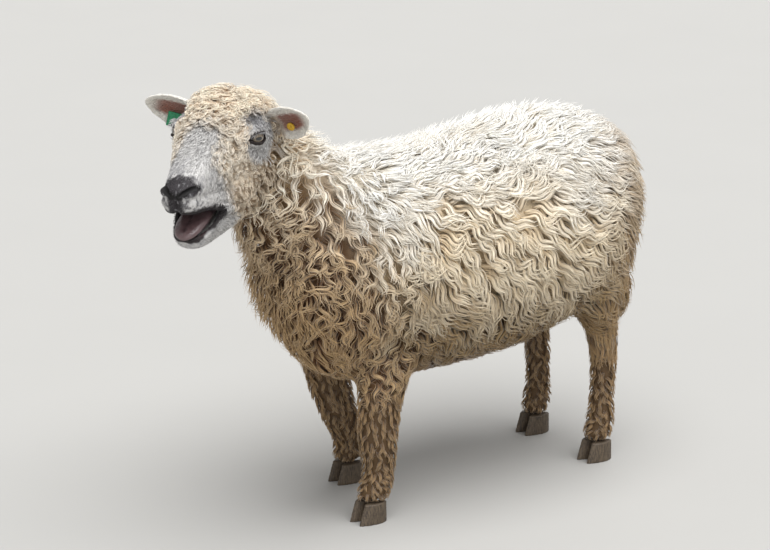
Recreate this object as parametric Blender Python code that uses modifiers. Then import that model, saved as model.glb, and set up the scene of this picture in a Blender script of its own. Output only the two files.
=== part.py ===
"""A longwool ewe standing square and bleating, as a life-size still model.

Metres, +Z up. The ewe faces -Y, her left side is +X and the floor is z = 0.
Every outline is taken at the tips of the coat, so the solids hold skin and wool.
The flesh is lofted from stations, fused into one form, and parted with thin cuts
into the pieces a person would name. Eyes, tongue, claws, ears and the two ear
tags are solids of their own that meet the flesh across the same thin gap.
"""
import math

import bmesh
import bpy
from mathutils import Euler, Matrix, Vector

# ---------------------------------------------------------------- driving sizes
GAP = 0.0003                    # clearance between pieces that meet
VOXEL = 0.0048                  # grid on which the lofts are fused
FLESH_TRIANGLES = 3300          # what the fused form is thinned to
RING_SIDES = 28                 # points round a loft
RING_STEP = 0.012               # distance between rings along a loft
TRUNK_POWER = 2.15              # of the super-ellipses: 2 is an ellipse, more is squarer
SKULL_POWER = 2.35
JAW_POWER = 2.30

EYE_MIDDLE = Vector((0.020, -0.378, 0.680))   # halfway between the two eyes
HEAD_TURN = math.radians(31)    # towards the left flank
HEAD_DROP = math.radians(10)    # of the line from the eyes to above the nose

EYE_RADIUS = 0.0160
EYE_OUT = 0.0615                # eyeball's centre, sideways from the mid-plane
EYE_BACK = 0.0060
EYE_LOOK = Vector((0.80, -0.56, 0.06)).normalized()   # out, forward and a little up
SOCKET_ROOM = 1.08              # eye socket, in eyeball radii
FUNNEL_FROM, FUNNEL_TO = 0.80, 1.45             # lids' opening, in eyeball radii
FUNNEL_DEPTH = 0.040
FUNNEL_OUT = 0.030              # middle of the opening, from the eyeball's centre

CLAW_TOP = 0.0350               # coronet height
CLAW_LENGTH = 0.056
CLAW_WIDTH = 0.0235
CLAW_CLEFT = 0.0025             # between the two claws of a foot
CLAW_TOE = 0.60                 # part of the length that is ahead of the pastern
CLAW_SLOPE = 0.22               # part of the length that the toe slopes back
CLAW_TAPER = 0.10               # narrowing towards the coronet
CLAW_POINT = 0.38               # narrowing towards the toe
CLAW_SIDES = 12
SWING_TOP = 0.270               # height from which a leg slopes to its foot

# Planes that part the head, each as a point and a direction, in the head's frame
LIPS_POINT, LIPS_FACING = Vector((0.0, -0.088, -0.092)), Vector((0.0, 0.10, -1.0))
NAPE_POINT, NAPE_FACING = Vector((0.0, 0.050, -0.050)), Vector((0.0, -0.80, 0.60))
JAW_LOW, JAW_HIGH = (-0.10, -0.20, -0.20), (0.10, -0.012, 0.0)
# Plane that parts the neck, and the box that parts the tail
NECK_POINT, NECK_FACING = Vector((0.0, -0.175, 0.520)), Vector((0.0, -0.85, 0.55))
TAIL_LOW, TAIL_HIGH = (-0.060, 0.456, 0.198), (0.060, 0.600, 0.560)
# Zones that part the legs: front, back, height of the knee or hock, top
LEG_ZONES = {"fore": (-0.215, -0.020, 0.165, 0.262), "hind": (0.240, 0.500, 0.186, 0.300)}
LEG_ZONE_INNER = 0.004          # sideways from the mid-plane
LEG_ZONE_OUTER = 0.300

STUD_RADIUS = 0.0022            # of the studs that hold the ear tags
STUD_REACH = 0.0200             # of the hole cut for a stud, to either side
BUTTON_RADIUS = 0.0068
BUTTON_THICK = 0.0022
BUTTON_GAP = 0.0062             # from the middle of the ear to a disc
STRAP_WIDTH = 0.024
STRAP_THICK = 0.0016
STRAP_GAP = 0.0072              # from the middle of the ear to the strip
STRAP_RISE = 0.009              # of the strip above its stud
STRAP_DROP = 0.011              # from the stud to where the strip turns round

# ------------------------------------------------- stations of the fleeced body
# Along y: y, height of the middle, half width, reach up, reach down
TRUNK = [
    (-0.266, 0.415, 0.042, 0.045, 0.052),
    (-0.249, 0.418, 0.096, 0.096, 0.110),
    (-0.202, 0.423, 0.134, 0.150, 0.170),
    (-0.130, 0.425, 0.157, 0.190, 0.200),
    (-0.040, 0.420, 0.172, 0.195, 0.203),
    (0.060, 0.418, 0.188, 0.193, 0.202),
    (0.160, 0.422, 0.197, 0.198, 0.200),
    (0.260, 0.432, 0.197, 0.200, 0.190),
    (0.345, 0.440, 0.185, 0.195, 0.175),
    (0.415, 0.445, 0.155, 0.168, 0.150),
    (0.455, 0.445, 0.112, 0.125, 0.115),
    (0.474, 0.440, 0.050, 0.060, 0.060),
]
# Middle x, y, z, half width, reach up, reach down
NECK = [
    (0.000, -0.020, 0.455, 0.130, 0.125, 0.130),
    (0.000, -0.110, 0.480, 0.138, 0.135, 0.140),
    (-0.002, -0.180, 0.525, 0.122, 0.115, 0.132),
    (-0.008, -0.235, 0.580, 0.104, 0.096, 0.112),
    (-0.014, -0.275, 0.630, 0.090, 0.082, 0.094),
    (-0.014, -0.300, 0.668, 0.066, 0.060, 0.070),
]
# Middle x (left side), y, z, half width, reach forward, reach back
FORELEG = [
    (0.080, -0.060, 0.360, 0.060, 0.080, 0.080),
    (0.086, -0.086, 0.285, 0.052, 0.062, 0.056),
    (0.090, -0.102, 0.225, 0.041, 0.044, 0.040),
    (0.090, -0.108, 0.165, 0.036, 0.039, 0.036),
    (0.090, -0.108, 0.120, 0.033, 0.033, 0.033),
    (0.090, -0.106, 0.085, 0.029, 0.028, 0.030),
    (0.090, -0.112, 0.058, 0.029, 0.029, 0.030),
    (0.090, -0.122, 0.038, 0.027, 0.028, 0.027),
    (0.090, -0.128, 0.020, 0.024, 0.024, 0.022),
]
HINDLEG = [
    (0.085, 0.305, 0.400, 0.085, 0.090, 0.145),
    (0.097, 0.328, 0.345, 0.076, 0.076, 0.120),
    (0.100, 0.352, 0.298, 0.056, 0.052, 0.080),
    (0.098, 0.370, 0.255, 0.034, 0.036, 0.040),
    (0.094, 0.381, 0.206, 0.026, 0.027, 0.027),
    (0.091, 0.385, 0.165, 0.025, 0.026, 0.026),
    (0.090, 0.383, 0.110, 0.024, 0.024, 0.025),
    (0.090, 0.380, 0.068, 0.026, 0.027, 0.029),
    (0.090, 0.373, 0.042, 0.026, 0.027, 0.026),
    (0.090, 0.367, 0.020, 0.023, 0.023, 0.021),
]
# Feet: name, which leg, side, how far the foot is set back along y
FEET = [
    ("fore_left", "fore", 1, -0.006),
    ("fore_right", "fore", -1, 0.085),
    ("hind_left", "hind", 1, 0.000),
    ("hind_right", "hind", -1, 0.012),
]
# y, z, half width, reach forward, reach back
TAIL = [
    (0.425, 0.560, 0.042, 0.032, 0.042),
    (0.464, 0.520, 0.048, 0.036, 0.038),
    (0.481, 0.450, 0.050, 0.036, 0.036),
    (0.487, 0.370, 0.048, 0.036, 0.034),
    (0.486, 0.300, 0.047, 0.034, 0.034),
    (0.485, 0.250, 0.042, 0.030, 0.032),
    (0.483, 0.212, 0.022, 0.018, 0.020),
]
# Head, from between the eyes: forward, up, half width, reach up, reach down
SKULL = [
    (-0.132, -0.030, 0.036, 0.034, 0.042),
    (-0.105, -0.022, 0.066, 0.056, 0.084),
    (-0.068, -0.016, 0.081, 0.070, 0.114),
    (-0.030, -0.016, 0.082, 0.070, 0.124),
    (0.002, -0.020, 0.073, 0.064, 0.115),
    (0.034, -0.026, 0.060, 0.056, 0.094),
    (0.060, -0.030, 0.050, 0.048, 0.062),
    (0.088, -0.034, 0.042, 0.041, 0.044),
    (0.116, -0.038, 0.0355, 0.034, 0.034),
    (0.143, -0.042, 0.0310, 0.028, 0.029),
    (0.160, -0.044, 0.0245, 0.021, 0.024),
    (0.169, -0.045, 0.0130, 0.010, 0.012),
]
LOWER_JAW = [
    (-0.045, -0.085, 0.040, 0.035, 0.045),
    (-0.010, -0.098, 0.058, 0.031, 0.044),
    (0.030, -0.108, 0.052, 0.019, 0.036),
    (0.062, -0.115, 0.043, 0.012, 0.029),
    (0.095, -0.119, 0.035, 0.010, 0.024),
    (0.120, -0.121, 0.030, 0.008, 0.020),
    (0.138, -0.122, 0.023, 0.007, 0.014),
    (0.146, -0.121, 0.010, 0.003, 0.006),
]
TONGUE = [
    (0.048, -0.098, 0.016, 0.006, 0.006),
    (0.070, -0.096, 0.022, 0.010, 0.010),
    (0.105, -0.100, 0.025, 0.011, 0.011),
    (0.135, -0.106, 0.023, 0.010, 0.008),
    (0.153, -0.111, 0.017, 0.007, 0.006),
    (0.160, -0.114, 0.007, 0.003, 0.003),
]
# Ear, along its length: part of the length, half width, depth of the cup, thickness, and how
# far the middle rises towards the upper edge
EAR = [
    (0.00, 0.022, 0.014, 0.012, -0.002),
    (0.24, 0.0330, 0.015, 0.009, 0.000),
    (0.50, 0.0355, 0.012, 0.007, 0.002),
    (0.74, 0.0275, 0.008, 0.006, 0.005),
    (0.91, 0.0160, 0.003, 0.005, 0.007),
    (1.00, 0.005, 0.001, 0.003, 0.008),
]
EAR_LENGTH = 0.088
# Where the left (1) and the right (-1) ear leave the head, from between the eyes
EAR_ROOT = {1: Vector((0.062, 0.066, -0.008)), -1: Vector((-0.062, 0.066, -0.004))}
EAR_LIFT = {1: 0.28, -1: 0.29}                  # rise of the left and the right ear
EAR_SIDES = 7                                  # points across the ear
EAR_RIM = 0.35                                 # thickness of the rim, part of the middle's
STRAP_BENDS = 8                                # faces round the fold of the strip
# Where a tag sits: part of the ear's length, part of its half width from the middle
TAG_PLACES = {1: (0.42, -0.35), -1: (0.40, -0.55)}

HEAD = Matrix.Translation(EYE_MIDDLE) @ Euler((HEAD_DROP, 0.0, HEAD_TURN)).to_matrix().to_4x4()


# ---------------------------------------------------------------- small helpers
def clear_scene():
    for thing in list(bpy.data.objects):
        bpy.data.objects.remove(thing, do_unlink=True)


def collection(name):
    group = bpy.data.collections.new(name)
    bpy.context.scene.collection.children.link(group)
    return group


def material(name, colour, roughness):
    made = bpy.data.materials.new(name)
    made.use_nodes = True
    shader = made.node_tree.nodes["Principled BSDF"]
    shader.inputs["Base Color"].default_value = (*colour, 1.0)
    shader.inputs["Roughness"].default_value = roughness
    shader.inputs["Metallic"].default_value = 0.0
    return made


def add_object(name, mesh, group, finish=None):
    made = bpy.data.objects.new(name, mesh)
    group.objects.link(made)
    if finish is not None:
        made.data.materials.clear()
        made.data.materials.append(finish)
    return made


def add_cutter(name, mesh, group):
    made = add_object(name, mesh, group)
    made.hide_render = True
    made.display_type = "WIRE"
    return made


def smooth_rows(rows, step=RING_STEP, columns=3):
    """Catmull-Rom rows between the given ones; the first columns are a position."""
    rows = [tuple(row) for row in rows]
    padded = [rows[0]] + rows + [rows[-1]]
    made = []
    for i in range(1, len(padded) - 2):
        before, here, there, after = padded[i - 1:i + 3]
        span = math.dist(here[:columns], there[:columns])
        count = max(1, round(span / step))
        for k in range(count):
            t = k / count
            made.append(tuple(
                0.5 * (2 * b + (c - a) * t + (2 * a - 5 * b + 4 * c - d) * t * t
                       + (3 * b - a - 3 * c + d) * t ** 3)
                for a, b, c, d in zip(before, here, there, after)))
    made.append(rows[-1])
    return made


def ring_point(turn, width, up, down, power):
    """A point of a super-ellipse whose upper and lower halves differ."""
    across, along = math.cos(turn), math.sin(turn)
    side = math.copysign(abs(across) ** (2 / power), across) * width
    rise = math.copysign(abs(along) ** (2 / power), along) * (up if along > 0 else down)
    return side, rise


def mesh_from_rings(name, rings):
    """A closed mesh through rings of equal length, capped at both ends."""
    form = bmesh.new()
    loops = [[form.verts.new(point) for point in ring] for ring in rings]
    sides = len(loops[0])
    for low, high in zip(loops, loops[1:]):
        for i in range(sides):
            j = (i + 1) % sides
            form.faces.new((low[i], low[j], high[j], high[i]))
    form.faces.new(list(reversed(loops[0])))
    form.faces.new(loops[-1])
    bmesh.ops.recalc_face_normals(form, faces=form.faces)
    bmesh.ops.triangulate(form, faces=form.faces, quad_method="FIXED")
    mesh = bpy.data.meshes.new(name)
    form.to_mesh(mesh)
    form.free()
    return mesh


def loft(name, rows, upward, power=2.0, place=Matrix.Identity(4), grow=0.0, sides=RING_SIDES):
    """Rings square to a smooth path. rows: x, y, z, half width, up, down."""
    rows = smooth_rows(rows)
    spots = [Vector(row[:3]) for row in rows]
    rings = []
    for i, row in enumerate(rows):
        ahead = (spots[min(i + 1, len(spots) - 1)] - spots[max(i - 1, 0)]).normalized()
        aside = ahead.cross(upward).normalized()
        above = aside.cross(ahead).normalized()
        width, up, down = (max(size, 0.001) + grow for size in row[3:6])
        ring = []
        for k in range(sides):
            side, rise = ring_point(math.tau * k / sides, width, up, down, power)
            ring.append(place @ (spots[i] + aside * side + above * rise))
        rings.append(ring)
    return mesh_from_rings(name, rings)


def evaluated_mesh(thing):
    graph = bpy.context.evaluated_depsgraph_get()
    graph.update()
    return bpy.data.meshes.new_from_object(thing.evaluated_get(graph))


def apply_all(thing):
    """Replace an object's mesh by what its modifiers make of it."""
    made = evaluated_mesh(thing)
    thing.modifiers.clear()
    old = thing.data
    thing.data = made
    bpy.data.meshes.remove(old)


def boolean(thing, cutter, operation):
    step = thing.modifiers.new(operation, "BOOLEAN")
    step.operation = operation
    step.solver = "EXACT"
    step.object = cutter
    apply_all(thing)


def keep_largest_body(thing):
    """Drop the crumbs that a cut leaves, and weld what it left nearly touching."""
    form = bmesh.new()
    form.from_mesh(thing.data)
    unseen = set(form.verts)
    bodies = []
    while unseen:
        body, edge = set(), [unseen.pop()]
        while edge:
            vertex = edge.pop()
            body.add(vertex)
            for link in vertex.link_edges:
                other = link.other_vert(vertex)
                if other in unseen:
                    unseen.discard(other)
                    edge.append(other)
        bodies.append(body)
    bodies.sort(key=len)
    for body in bodies[:-1]:
        bmesh.ops.delete(form, geom=list(body), context="VERTS")
    bmesh.ops.triangulate(form, faces=form.faces)
    form.to_mesh(thing.data)
    form.free()


def box_mesh(name, size, place, grow=0.0):
    form = bmesh.new()
    bmesh.ops.create_cube(form, size=1.0)
    bmesh.ops.scale(form, vec=[length + 2 * grow for length in size], verts=form.verts)
    bmesh.ops.transform(form, matrix=place, verts=form.verts)
    mesh = bpy.data.meshes.new(name)
    form.to_mesh(mesh)
    form.free()
    return mesh


def ball_mesh(name, radii, place, detail=3):
    form = bmesh.new()
    bmesh.ops.create_icosphere(form, subdivisions=detail, radius=1.0)
    bmesh.ops.scale(form, vec=radii, verts=form.verts)
    bmesh.ops.transform(form, matrix=place, verts=form.verts)
    mesh = bpy.data.meshes.new(name)
    form.to_mesh(mesh)
    form.free()
    return mesh


# ------------------------------------------------------------------- the flesh
def leg_rows(kind, side, shift):
    """Stations of one leg, its foot set back and the rest of it sloping to suit."""
    rows = FORELEG if kind == "fore" else HINDLEG
    made = []
    for x, y, z, *sizes in rows:
        slope = min(1.0, max(0.0, (SWING_TOP - z) / (SWING_TOP - CLAW_TOP)))
        made.append((x * side, y + shift * slope, z, *sizes))
    return made


def head_rows(rows):
    """Stations of the head in its own frame, where it faces -Y from the origin."""
    return [(0.0, -forward, up, *sizes) for forward, up, *sizes in rows]


def flesh_lofts():
    up, forward = Vector((0, 0, 1)), Vector((0, -1, 0))
    yield loft("trunk_form", [(0.0, *row) for row in TRUNK], up, TRUNK_POWER)
    yield loft("neck_form", NECK, up)
    yield loft("skull_form", head_rows(SKULL), up, SKULL_POWER, HEAD)
    yield loft("lower_jaw_form", head_rows(LOWER_JAW), up, JAW_POWER, HEAD)
    yield loft("tail_form", [(0.0, *row) for row in TAIL], forward)
    for name, kind, side, shift in FEET:
        yield loft(name + "_form", leg_rows(kind, side, shift), forward)


def fused_flesh(group):
    """All the lofts as one closed form, smoothed and thinned."""
    form = bmesh.new()
    for mesh in flesh_lofts():
        form.from_mesh(mesh)
        bpy.data.meshes.remove(mesh)
    whole = bpy.data.meshes.new("flesh")
    form.to_mesh(whole)
    form.free()
    flesh = add_object("flesh", whole, group)
    remesh = flesh.modifiers.new("fuse", "REMESH")
    remesh.mode = "VOXEL"
    remesh.voxel_size = VOXEL
    smooth = flesh.modifiers.new("smooth", "SMOOTH")
    smooth.factor = 0.5
    smooth.iterations = 6
    apply_all(flesh)
    thin = flesh.modifiers.new("thin", "DECIMATE")
    thin.ratio = FLESH_TRIANGLES / (2 * len(flesh.data.polygons))
    thin.use_collapse_triangulate = True
    apply_all(flesh)
    keep_largest_body(flesh)
    return flesh


# ------------------------------------------------------------------------ eyes
def eye_place(side):
    return HEAD @ Matrix.Translation((side * EYE_OUT, EYE_BACK, 0.0))


def eye_socket(side):
    """The eyeball's room in the head, open to the outside as a short funnel."""
    look = Vector((EYE_LOOK.x * side, EYE_LOOK.y, EYE_LOOK.z))
    turn = look.to_track_quat("Z", "Y").to_matrix().to_4x4()
    form = bmesh.new()
    bmesh.ops.create_cone(form, cap_ends=True, segments=14, radius1=EYE_RADIUS * FUNNEL_FROM,
                          radius2=EYE_RADIUS * FUNNEL_TO, depth=FUNNEL_DEPTH)
    lift = Matrix.Translation((0, 0, FUNNEL_OUT))
    bmesh.ops.transform(form, matrix=eye_place(side) @ turn @ lift, verts=form.verts)
    mesh = bpy.data.meshes.new("eye_funnel")
    form.to_mesh(mesh)
    form.free()
    return mesh


def add_eye(name, side, group, cutters, flesh, finish):
    reach = [EYE_RADIUS * SOCKET_ROOM] * 3
    for mesh in (ball_mesh("eye_room", reach, eye_place(side), 2), eye_socket(side)):
        cutter = add_cutter(name + "_" + mesh.name, mesh, cutters)
        boolean(flesh, cutter, "DIFFERENCE")
    eye = add_object(name, ball_mesh(name, [EYE_RADIUS] * 3, eye_place(side)), group, finish)
    eye.data.shade_smooth()


# --------------------------------------------------------------------- the ears
def ear_frame(side):
    """Along the ear, across it, and out of its open face, in the head's frame."""
    along = Vector((0.90 * side, -0.24, EAR_LIFT[side])).normalized()
    open_face = Vector((0.30 * side, -0.93, -0.22))
    across = open_face.cross(along).normalized()
    if across.z < 0:
        across.negate()
    face = along.cross(across).normalized()
    if face.y > 0:
        face.negate()
    return EAR_ROOT[side], along, across, face


def ear_mesh(name, side, grow=0.0):
    root, along, across, face = ear_frame(side)
    rows = smooth_rows([(row[0] * EAR_LENGTH, *row[1:]) for row in EAR], 0.011, 1)
    rings = []
    for reach, half, cup, thick, rise in rows:
        middle = root + along * (reach + grow * (1 if reach > 0 else -1)) + across * rise
        back, front = [], []
        for k in range(EAR_SIDES):
            t = 2 * k / (EAR_SIDES - 1) - 1
            spot = t * (half + grow)
            bow = cup * (1 - (spot / half) ** 2)
            full = thick * (EAR_RIM + (1 - EAR_RIM) * math.sqrt(1 - t * t)) / 2 + grow
            back.append(middle + across * spot - face * (bow + full))
            front.append(middle + across * spot - face * (bow - full))
        rings.append([HEAD @ point for point in back + front[::-1]])
    return mesh_from_rings(name, rings)


def tag_place(side, part_of_length, part_of_width):
    """Where a tag's stud passes square through the ear, +Z out of its open face."""
    root, along, across, face = ear_frame(side)
    spot = part_of_length * EAR_LENGTH
    rows = smooth_rows([(row[0] * EAR_LENGTH, *row[1:]) for row in EAR], 0.002, 1)
    half, cup, _, rise = next(row[1:] for row in rows if row[0] >= spot)
    bow = cup * (1 - part_of_width ** 2)
    centre = root + along * spot + across * (part_of_width * half + rise) - face * bow
    slope = -2 * cup * part_of_width / half
    tangent = (across - face * slope).normalized()
    normal = (face + across * slope).normalized()
    turn = Matrix((along, tangent, normal)).transposed().to_4x4()
    return HEAD @ Matrix.Translation(centre) @ turn


# -------------------------------------------------------------------- the claws
def claw_mesh(name, foot_x, foot_y, inner):
    """One claw of a cloven foot: flat below, sloping at the toe, cut level on top."""
    middle = foot_x + inner * (CLAW_CLEFT + CLAW_WIDTH) / 2
    rings = []
    for level in (0.0, 0.5, 1.0):
        half = CLAW_WIDTH / 2 * (1 - CLAW_TAPER * level)
        toe = CLAW_LENGTH * (CLAW_TOE - CLAW_SLOPE * level)
        heel = CLAW_LENGTH * (1 - CLAW_TOE)
        ring = []
        for k in range(CLAW_SIDES):
            turn = math.tau * k / CLAW_SIDES
            side, along = math.cos(turn), math.sin(turn)
            forward = max(-along, 0.0)
            across = half * side * (1 - CLAW_POINT * forward ** 2)
            ring.append(Vector((middle + across, foot_y + along * (toe if along < 0 else heel),
                                CLAW_TOP * level)))
        rings.append(ring)
    return mesh_from_rings(name, rings)


def add_claws(name, kind, side, shift, group, finish):
    foot_x, foot_y = leg_rows(kind, side, shift)[-2][:2]
    for label, inner in (("outer", side), ("inner", -side)):
        title = f"claw_{name}_{label}"
        claw = add_object(title, claw_mesh(title, foot_x, foot_y, inner), group, finish)
        claw.data.shade_smooth()
        claw.data.set_sharp_from_angle(angle=math.radians(40))


# --------------------------------------------------------------------- the tags
def disc(form, radius, low, high, segments=20):
    lift = Matrix.Translation((0, 0, (low + high) / 2))
    bmesh.ops.create_cone(form, cap_ends=True, segments=segments, radius1=radius,
                          radius2=radius, depth=high - low, matrix=lift)


def mesh_of(name, form, place):
    """A mesh set in its place, faces out also where the place is mirrored."""
    bmesh.ops.transform(form, matrix=place, verts=form.verts)
    bmesh.ops.recalc_face_normals(form, faces=form.faces)
    mesh = bpy.data.meshes.new(name)
    form.to_mesh(mesh)
    form.free()
    return mesh


def stud_mesh(name, radius, place):
    form = bmesh.new()
    disc(form, radius, -STUD_REACH, STUD_REACH, 12)
    return mesh_of(name, form, place)


def add_button_tag(name, ear, place, group, cutters, finish):
    """Two small discs on a stud through the ear."""
    hole = add_cutter(name + "_hole", stud_mesh("hole", STUD_RADIUS + GAP, place), cutters)
    boolean(ear, hole, "DIFFERENCE")
    tag = None
    for label, radius, low, high, sides in (
            ("front", BUTTON_RADIUS, BUTTON_GAP, BUTTON_GAP + BUTTON_THICK, 20),
            ("back", BUTTON_RADIUS, -BUTTON_GAP - BUTTON_THICK, -BUTTON_GAP, 20),
            ("stud", STUD_RADIUS, -BUTTON_GAP - 0.001, BUTTON_GAP + 0.001, 12)):
        form = bmesh.new()
        disc(form, radius, low, high, sides)
        mesh = mesh_of(name + "_" + label, form, place)
        if tag is None:
            tag = add_object(name, mesh, group, finish)
        else:
            boolean(tag, add_cutter(mesh.name, mesh, cutters), "UNION")


def strap_mesh(name, place, grow=0.0):
    """A strip folded into a U: its outer line down and round, its inner line back up."""
    lines = []
    for radius in (STRAP_GAP + STRAP_THICK + grow, STRAP_GAP - grow):
        line = [(radius, STRAP_RISE + grow)]
        for i in range(STRAP_BENDS + 1):
            turn = math.pi * i / STRAP_BENDS
            line.append((radius * math.cos(turn), -STRAP_DROP - radius * math.sin(turn)))
        line.append((-radius, STRAP_RISE + grow))
        lines.append(line)
    profile = lines[0] + lines[1][::-1]
    half = STRAP_WIDTH / 2 + grow
    rings = [[place @ Vector((x, across, out)) for out, across in profile] for x in (-half, half)]
    return mesh_from_rings(name, rings)


def add_loop_tag(name, ear, place, group, cutters, finish):
    """A plastic strip folded over the ear's lower edge and pinned through it."""
    hole = add_cutter(name + "_hole", stud_mesh("hole", STUD_RADIUS + GAP, place), cutters)
    boolean(ear, hole, "DIFFERENCE")
    room = add_cutter(name + "_room", strap_mesh("room", place, GAP), cutters)
    boolean(ear, room, "DIFFERENCE")
    keep_largest_body(ear)
    tag = add_object(name, strap_mesh(name, place), group, finish)
    form = bmesh.new()
    reach = STRAP_GAP + STRAP_THICK / 2
    disc(form, STUD_RADIUS, -reach, reach, 12)
    pin = add_cutter(name + "_pin", mesh_of("pin", form, place), cutters)
    boolean(tag, pin, "UNION")


# --------------------------------------------------------------- parting zones
def block_mesh(low, high, grow, frame=Matrix.Identity(4)):
    """A box given by its lowest and highest corner in some frame."""
    low, high = Vector(low), Vector(high)
    return box_mesh("zone", high - low, frame @ Matrix.Translation((low + high) / 2), grow)


def half_space(point, facing, grow):
    """A large block on the side of a plane that its facing vector points to."""
    size = 1.2
    turn = Vector(facing).normalized().to_track_quat("Z", "Y").to_matrix().to_4x4()
    place = Matrix.Translation(point) @ turn @ Matrix.Translation((0, 0, size / 2))
    return box_mesh("zone", (size, size, size), place, grow)


def jaw_zone(cutters, grow):
    """What lies under the line of the lips, forward of the corner of the jaw."""
    under = half_space(HEAD @ LIPS_POINT, HEAD.to_3x3() @ LIPS_FACING, grow)
    zone = add_cutter("under_lips", under, cutters)
    ahead = block_mesh(JAW_LOW, JAW_HIGH, grow, HEAD)
    boolean(zone, add_cutter("ahead_of_jaw_corner", ahead, cutters), "INTERSECT")
    return zone.data


def head_zone(_, grow):
    """Ahead of a cut from behind the poll down to the throat."""
    return half_space(HEAD @ NAPE_POINT, HEAD.to_3x3() @ NAPE_FACING, grow)


def neck_zone(_, grow):
    """Ahead of a cut from the withers down to the breast."""
    return half_space(NECK_POINT, NECK_FACING, grow)


def tail_zone(_, grow):
    return block_mesh(TAIL_LOW, TAIL_HIGH, grow)


def leg_zone(kind, side, shift, part):
    """A box round the upper or the lower part of one leg."""
    front, back, joint, top = LEG_ZONES[kind]
    low, high = (CLAW_TOP + GAP, joint) if part == "lower" else (joint + 2 * GAP, top)
    inner, outer = sorted((side * LEG_ZONE_INNER, side * LEG_ZONE_OUTER))

    def zone(_, grow):
        corners = (inner, front + shift, low), (outer, back + shift, high)
        return block_mesh(*corners, grow)
    return zone


def cut_piece(flesh, name, zone, group, cutters, finish):
    """Take what lies in the zone as a new piece, and clear a little more than that."""
    piece = add_object(name, flesh.data.copy(), group, finish)
    boolean(piece, add_cutter(name + "_zone", zone(cutters, 0.0), cutters), "INTERSECT")
    boolean(flesh, add_cutter(name + "_room", zone(cutters, GAP), cutters), "DIFFERENCE")
    keep_largest_body(piece)
    keep_largest_body(flesh)
    piece.data.shade_smooth()


def part_flesh(flesh, group, cutters, finishes):
    """Cut every named piece from the flesh, which is left as the trunk."""
    wool, face, leg = finishes["wool"], finishes["face"], finishes["leg"]
    cut_piece(flesh, "lower_jaw", jaw_zone, group, cutters, face)
    cut_piece(flesh, "head", head_zone, group, cutters, face)
    cut_piece(flesh, "neck", neck_zone, group, cutters, wool)
    cut_piece(flesh, "tail", tail_zone, group, cutters, wool)
    for name, kind, side, shift in FEET:
        for part in ("lower", "upper"):
            zone = leg_zone(kind, side, shift, part)
            cut_piece(flesh, f"leg_{name}_{part}", zone, group, cutters, leg)
    cutters.objects.unlink(flesh)
    group.objects.link(flesh)
    flesh.name = "trunk"
    flesh.data.materials.clear()
    flesh.data.materials.append(wool)
    flesh.data.shade_smooth()


# -------------------------------------------------------------------- assembly
def add_tongue(flesh, group, cutters, finish):
    rows, up, sides = head_rows(TONGUE), Vector((0, 0, 1)), 12
    room = loft("tongue_room", rows, up, JAW_POWER, HEAD, GAP, sides)
    boolean(flesh, add_cutter("tongue_room", room, cutters), "DIFFERENCE")
    form = loft("tongue", rows, up, JAW_POWER, HEAD, 0.0, sides)
    tongue = add_object("tongue", form, group, finish)
    tongue.data.shade_smooth()


def add_ear(label, side, flesh, group, cutters, finishes):
    """One ear with its tag: a button in the left one, a folded strip on the right."""
    ear = add_object("ear_" + label, ear_mesh("ear", side), group, finishes["face"])
    room = add_cutter("ear_room_" + label, ear_mesh("ear_room", side, 2 * GAP), cutters)
    boolean(flesh, room, "DIFFERENCE")
    place = tag_place(side, *TAG_PLACES[side])
    if side > 0:
        add_button_tag("tag_yellow", ear, place, group, cutters, finishes["yellow"])
    else:
        add_loop_tag("tag_green", ear, place, group, cutters, finishes["green"])
    ear.data.shade_smooth()


def build():
    clear_scene()
    parts, cutters = collection("sheep"), collection("cutters")
    finishes = {
        "wool": material("wool", (0.82, 0.76, 0.64), 0.95),
        "leg": material("leg_wool", (0.52, 0.40, 0.28), 0.95),
        "face": material("face_hair", (0.74, 0.71, 0.66), 0.90),
        "horn": material("claw_horn", (0.09, 0.075, 0.06), 0.55),
        "eye": material("eye", (0.05, 0.035, 0.025), 0.08),
        "tongue": material("tongue", (0.24, 0.15, 0.15), 0.35),
        "green": material("green_plastic", (0.02, 0.30, 0.14), 0.45),
        "yellow": material("yellow_plastic", (0.80, 0.55, 0.06), 0.45),
    }
    flesh = fused_flesh(cutters)
    add_tongue(flesh, parts, cutters, finishes["tongue"])
    for label, side in (("left", 1), ("right", -1)):
        add_eye("eye_" + label, side, parts, cutters, flesh, finishes["eye"])
        add_ear(label, side, flesh, parts, cutters, finishes)
    keep_largest_body(flesh)
    part_flesh(flesh, parts, cutters, finishes)
    for name, kind, side, shift in FEET:
        add_claws(name, kind, side, shift, parts, finishes["horn"])


build()
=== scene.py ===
"""Looks of the still longwool ewe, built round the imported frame.

Metres, +Z up; the ewe faces -Y and her left side is +X. One skin replaces every
node of flesh and lies inside it by the depth of the coat. Locks, curls and short
tufts of solid mesh grow from the skin and reach out to where the solids end.
Colours are formulas of the place on the body, shared by skin and coat.
"""
import math

import bmesh
import bpy
import numpy as np
from mathutils import Euler, Matrix, Vector
from mathutils.bvhtree import BVHTree
from mathutils.geometry import barycentric_transform


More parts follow.
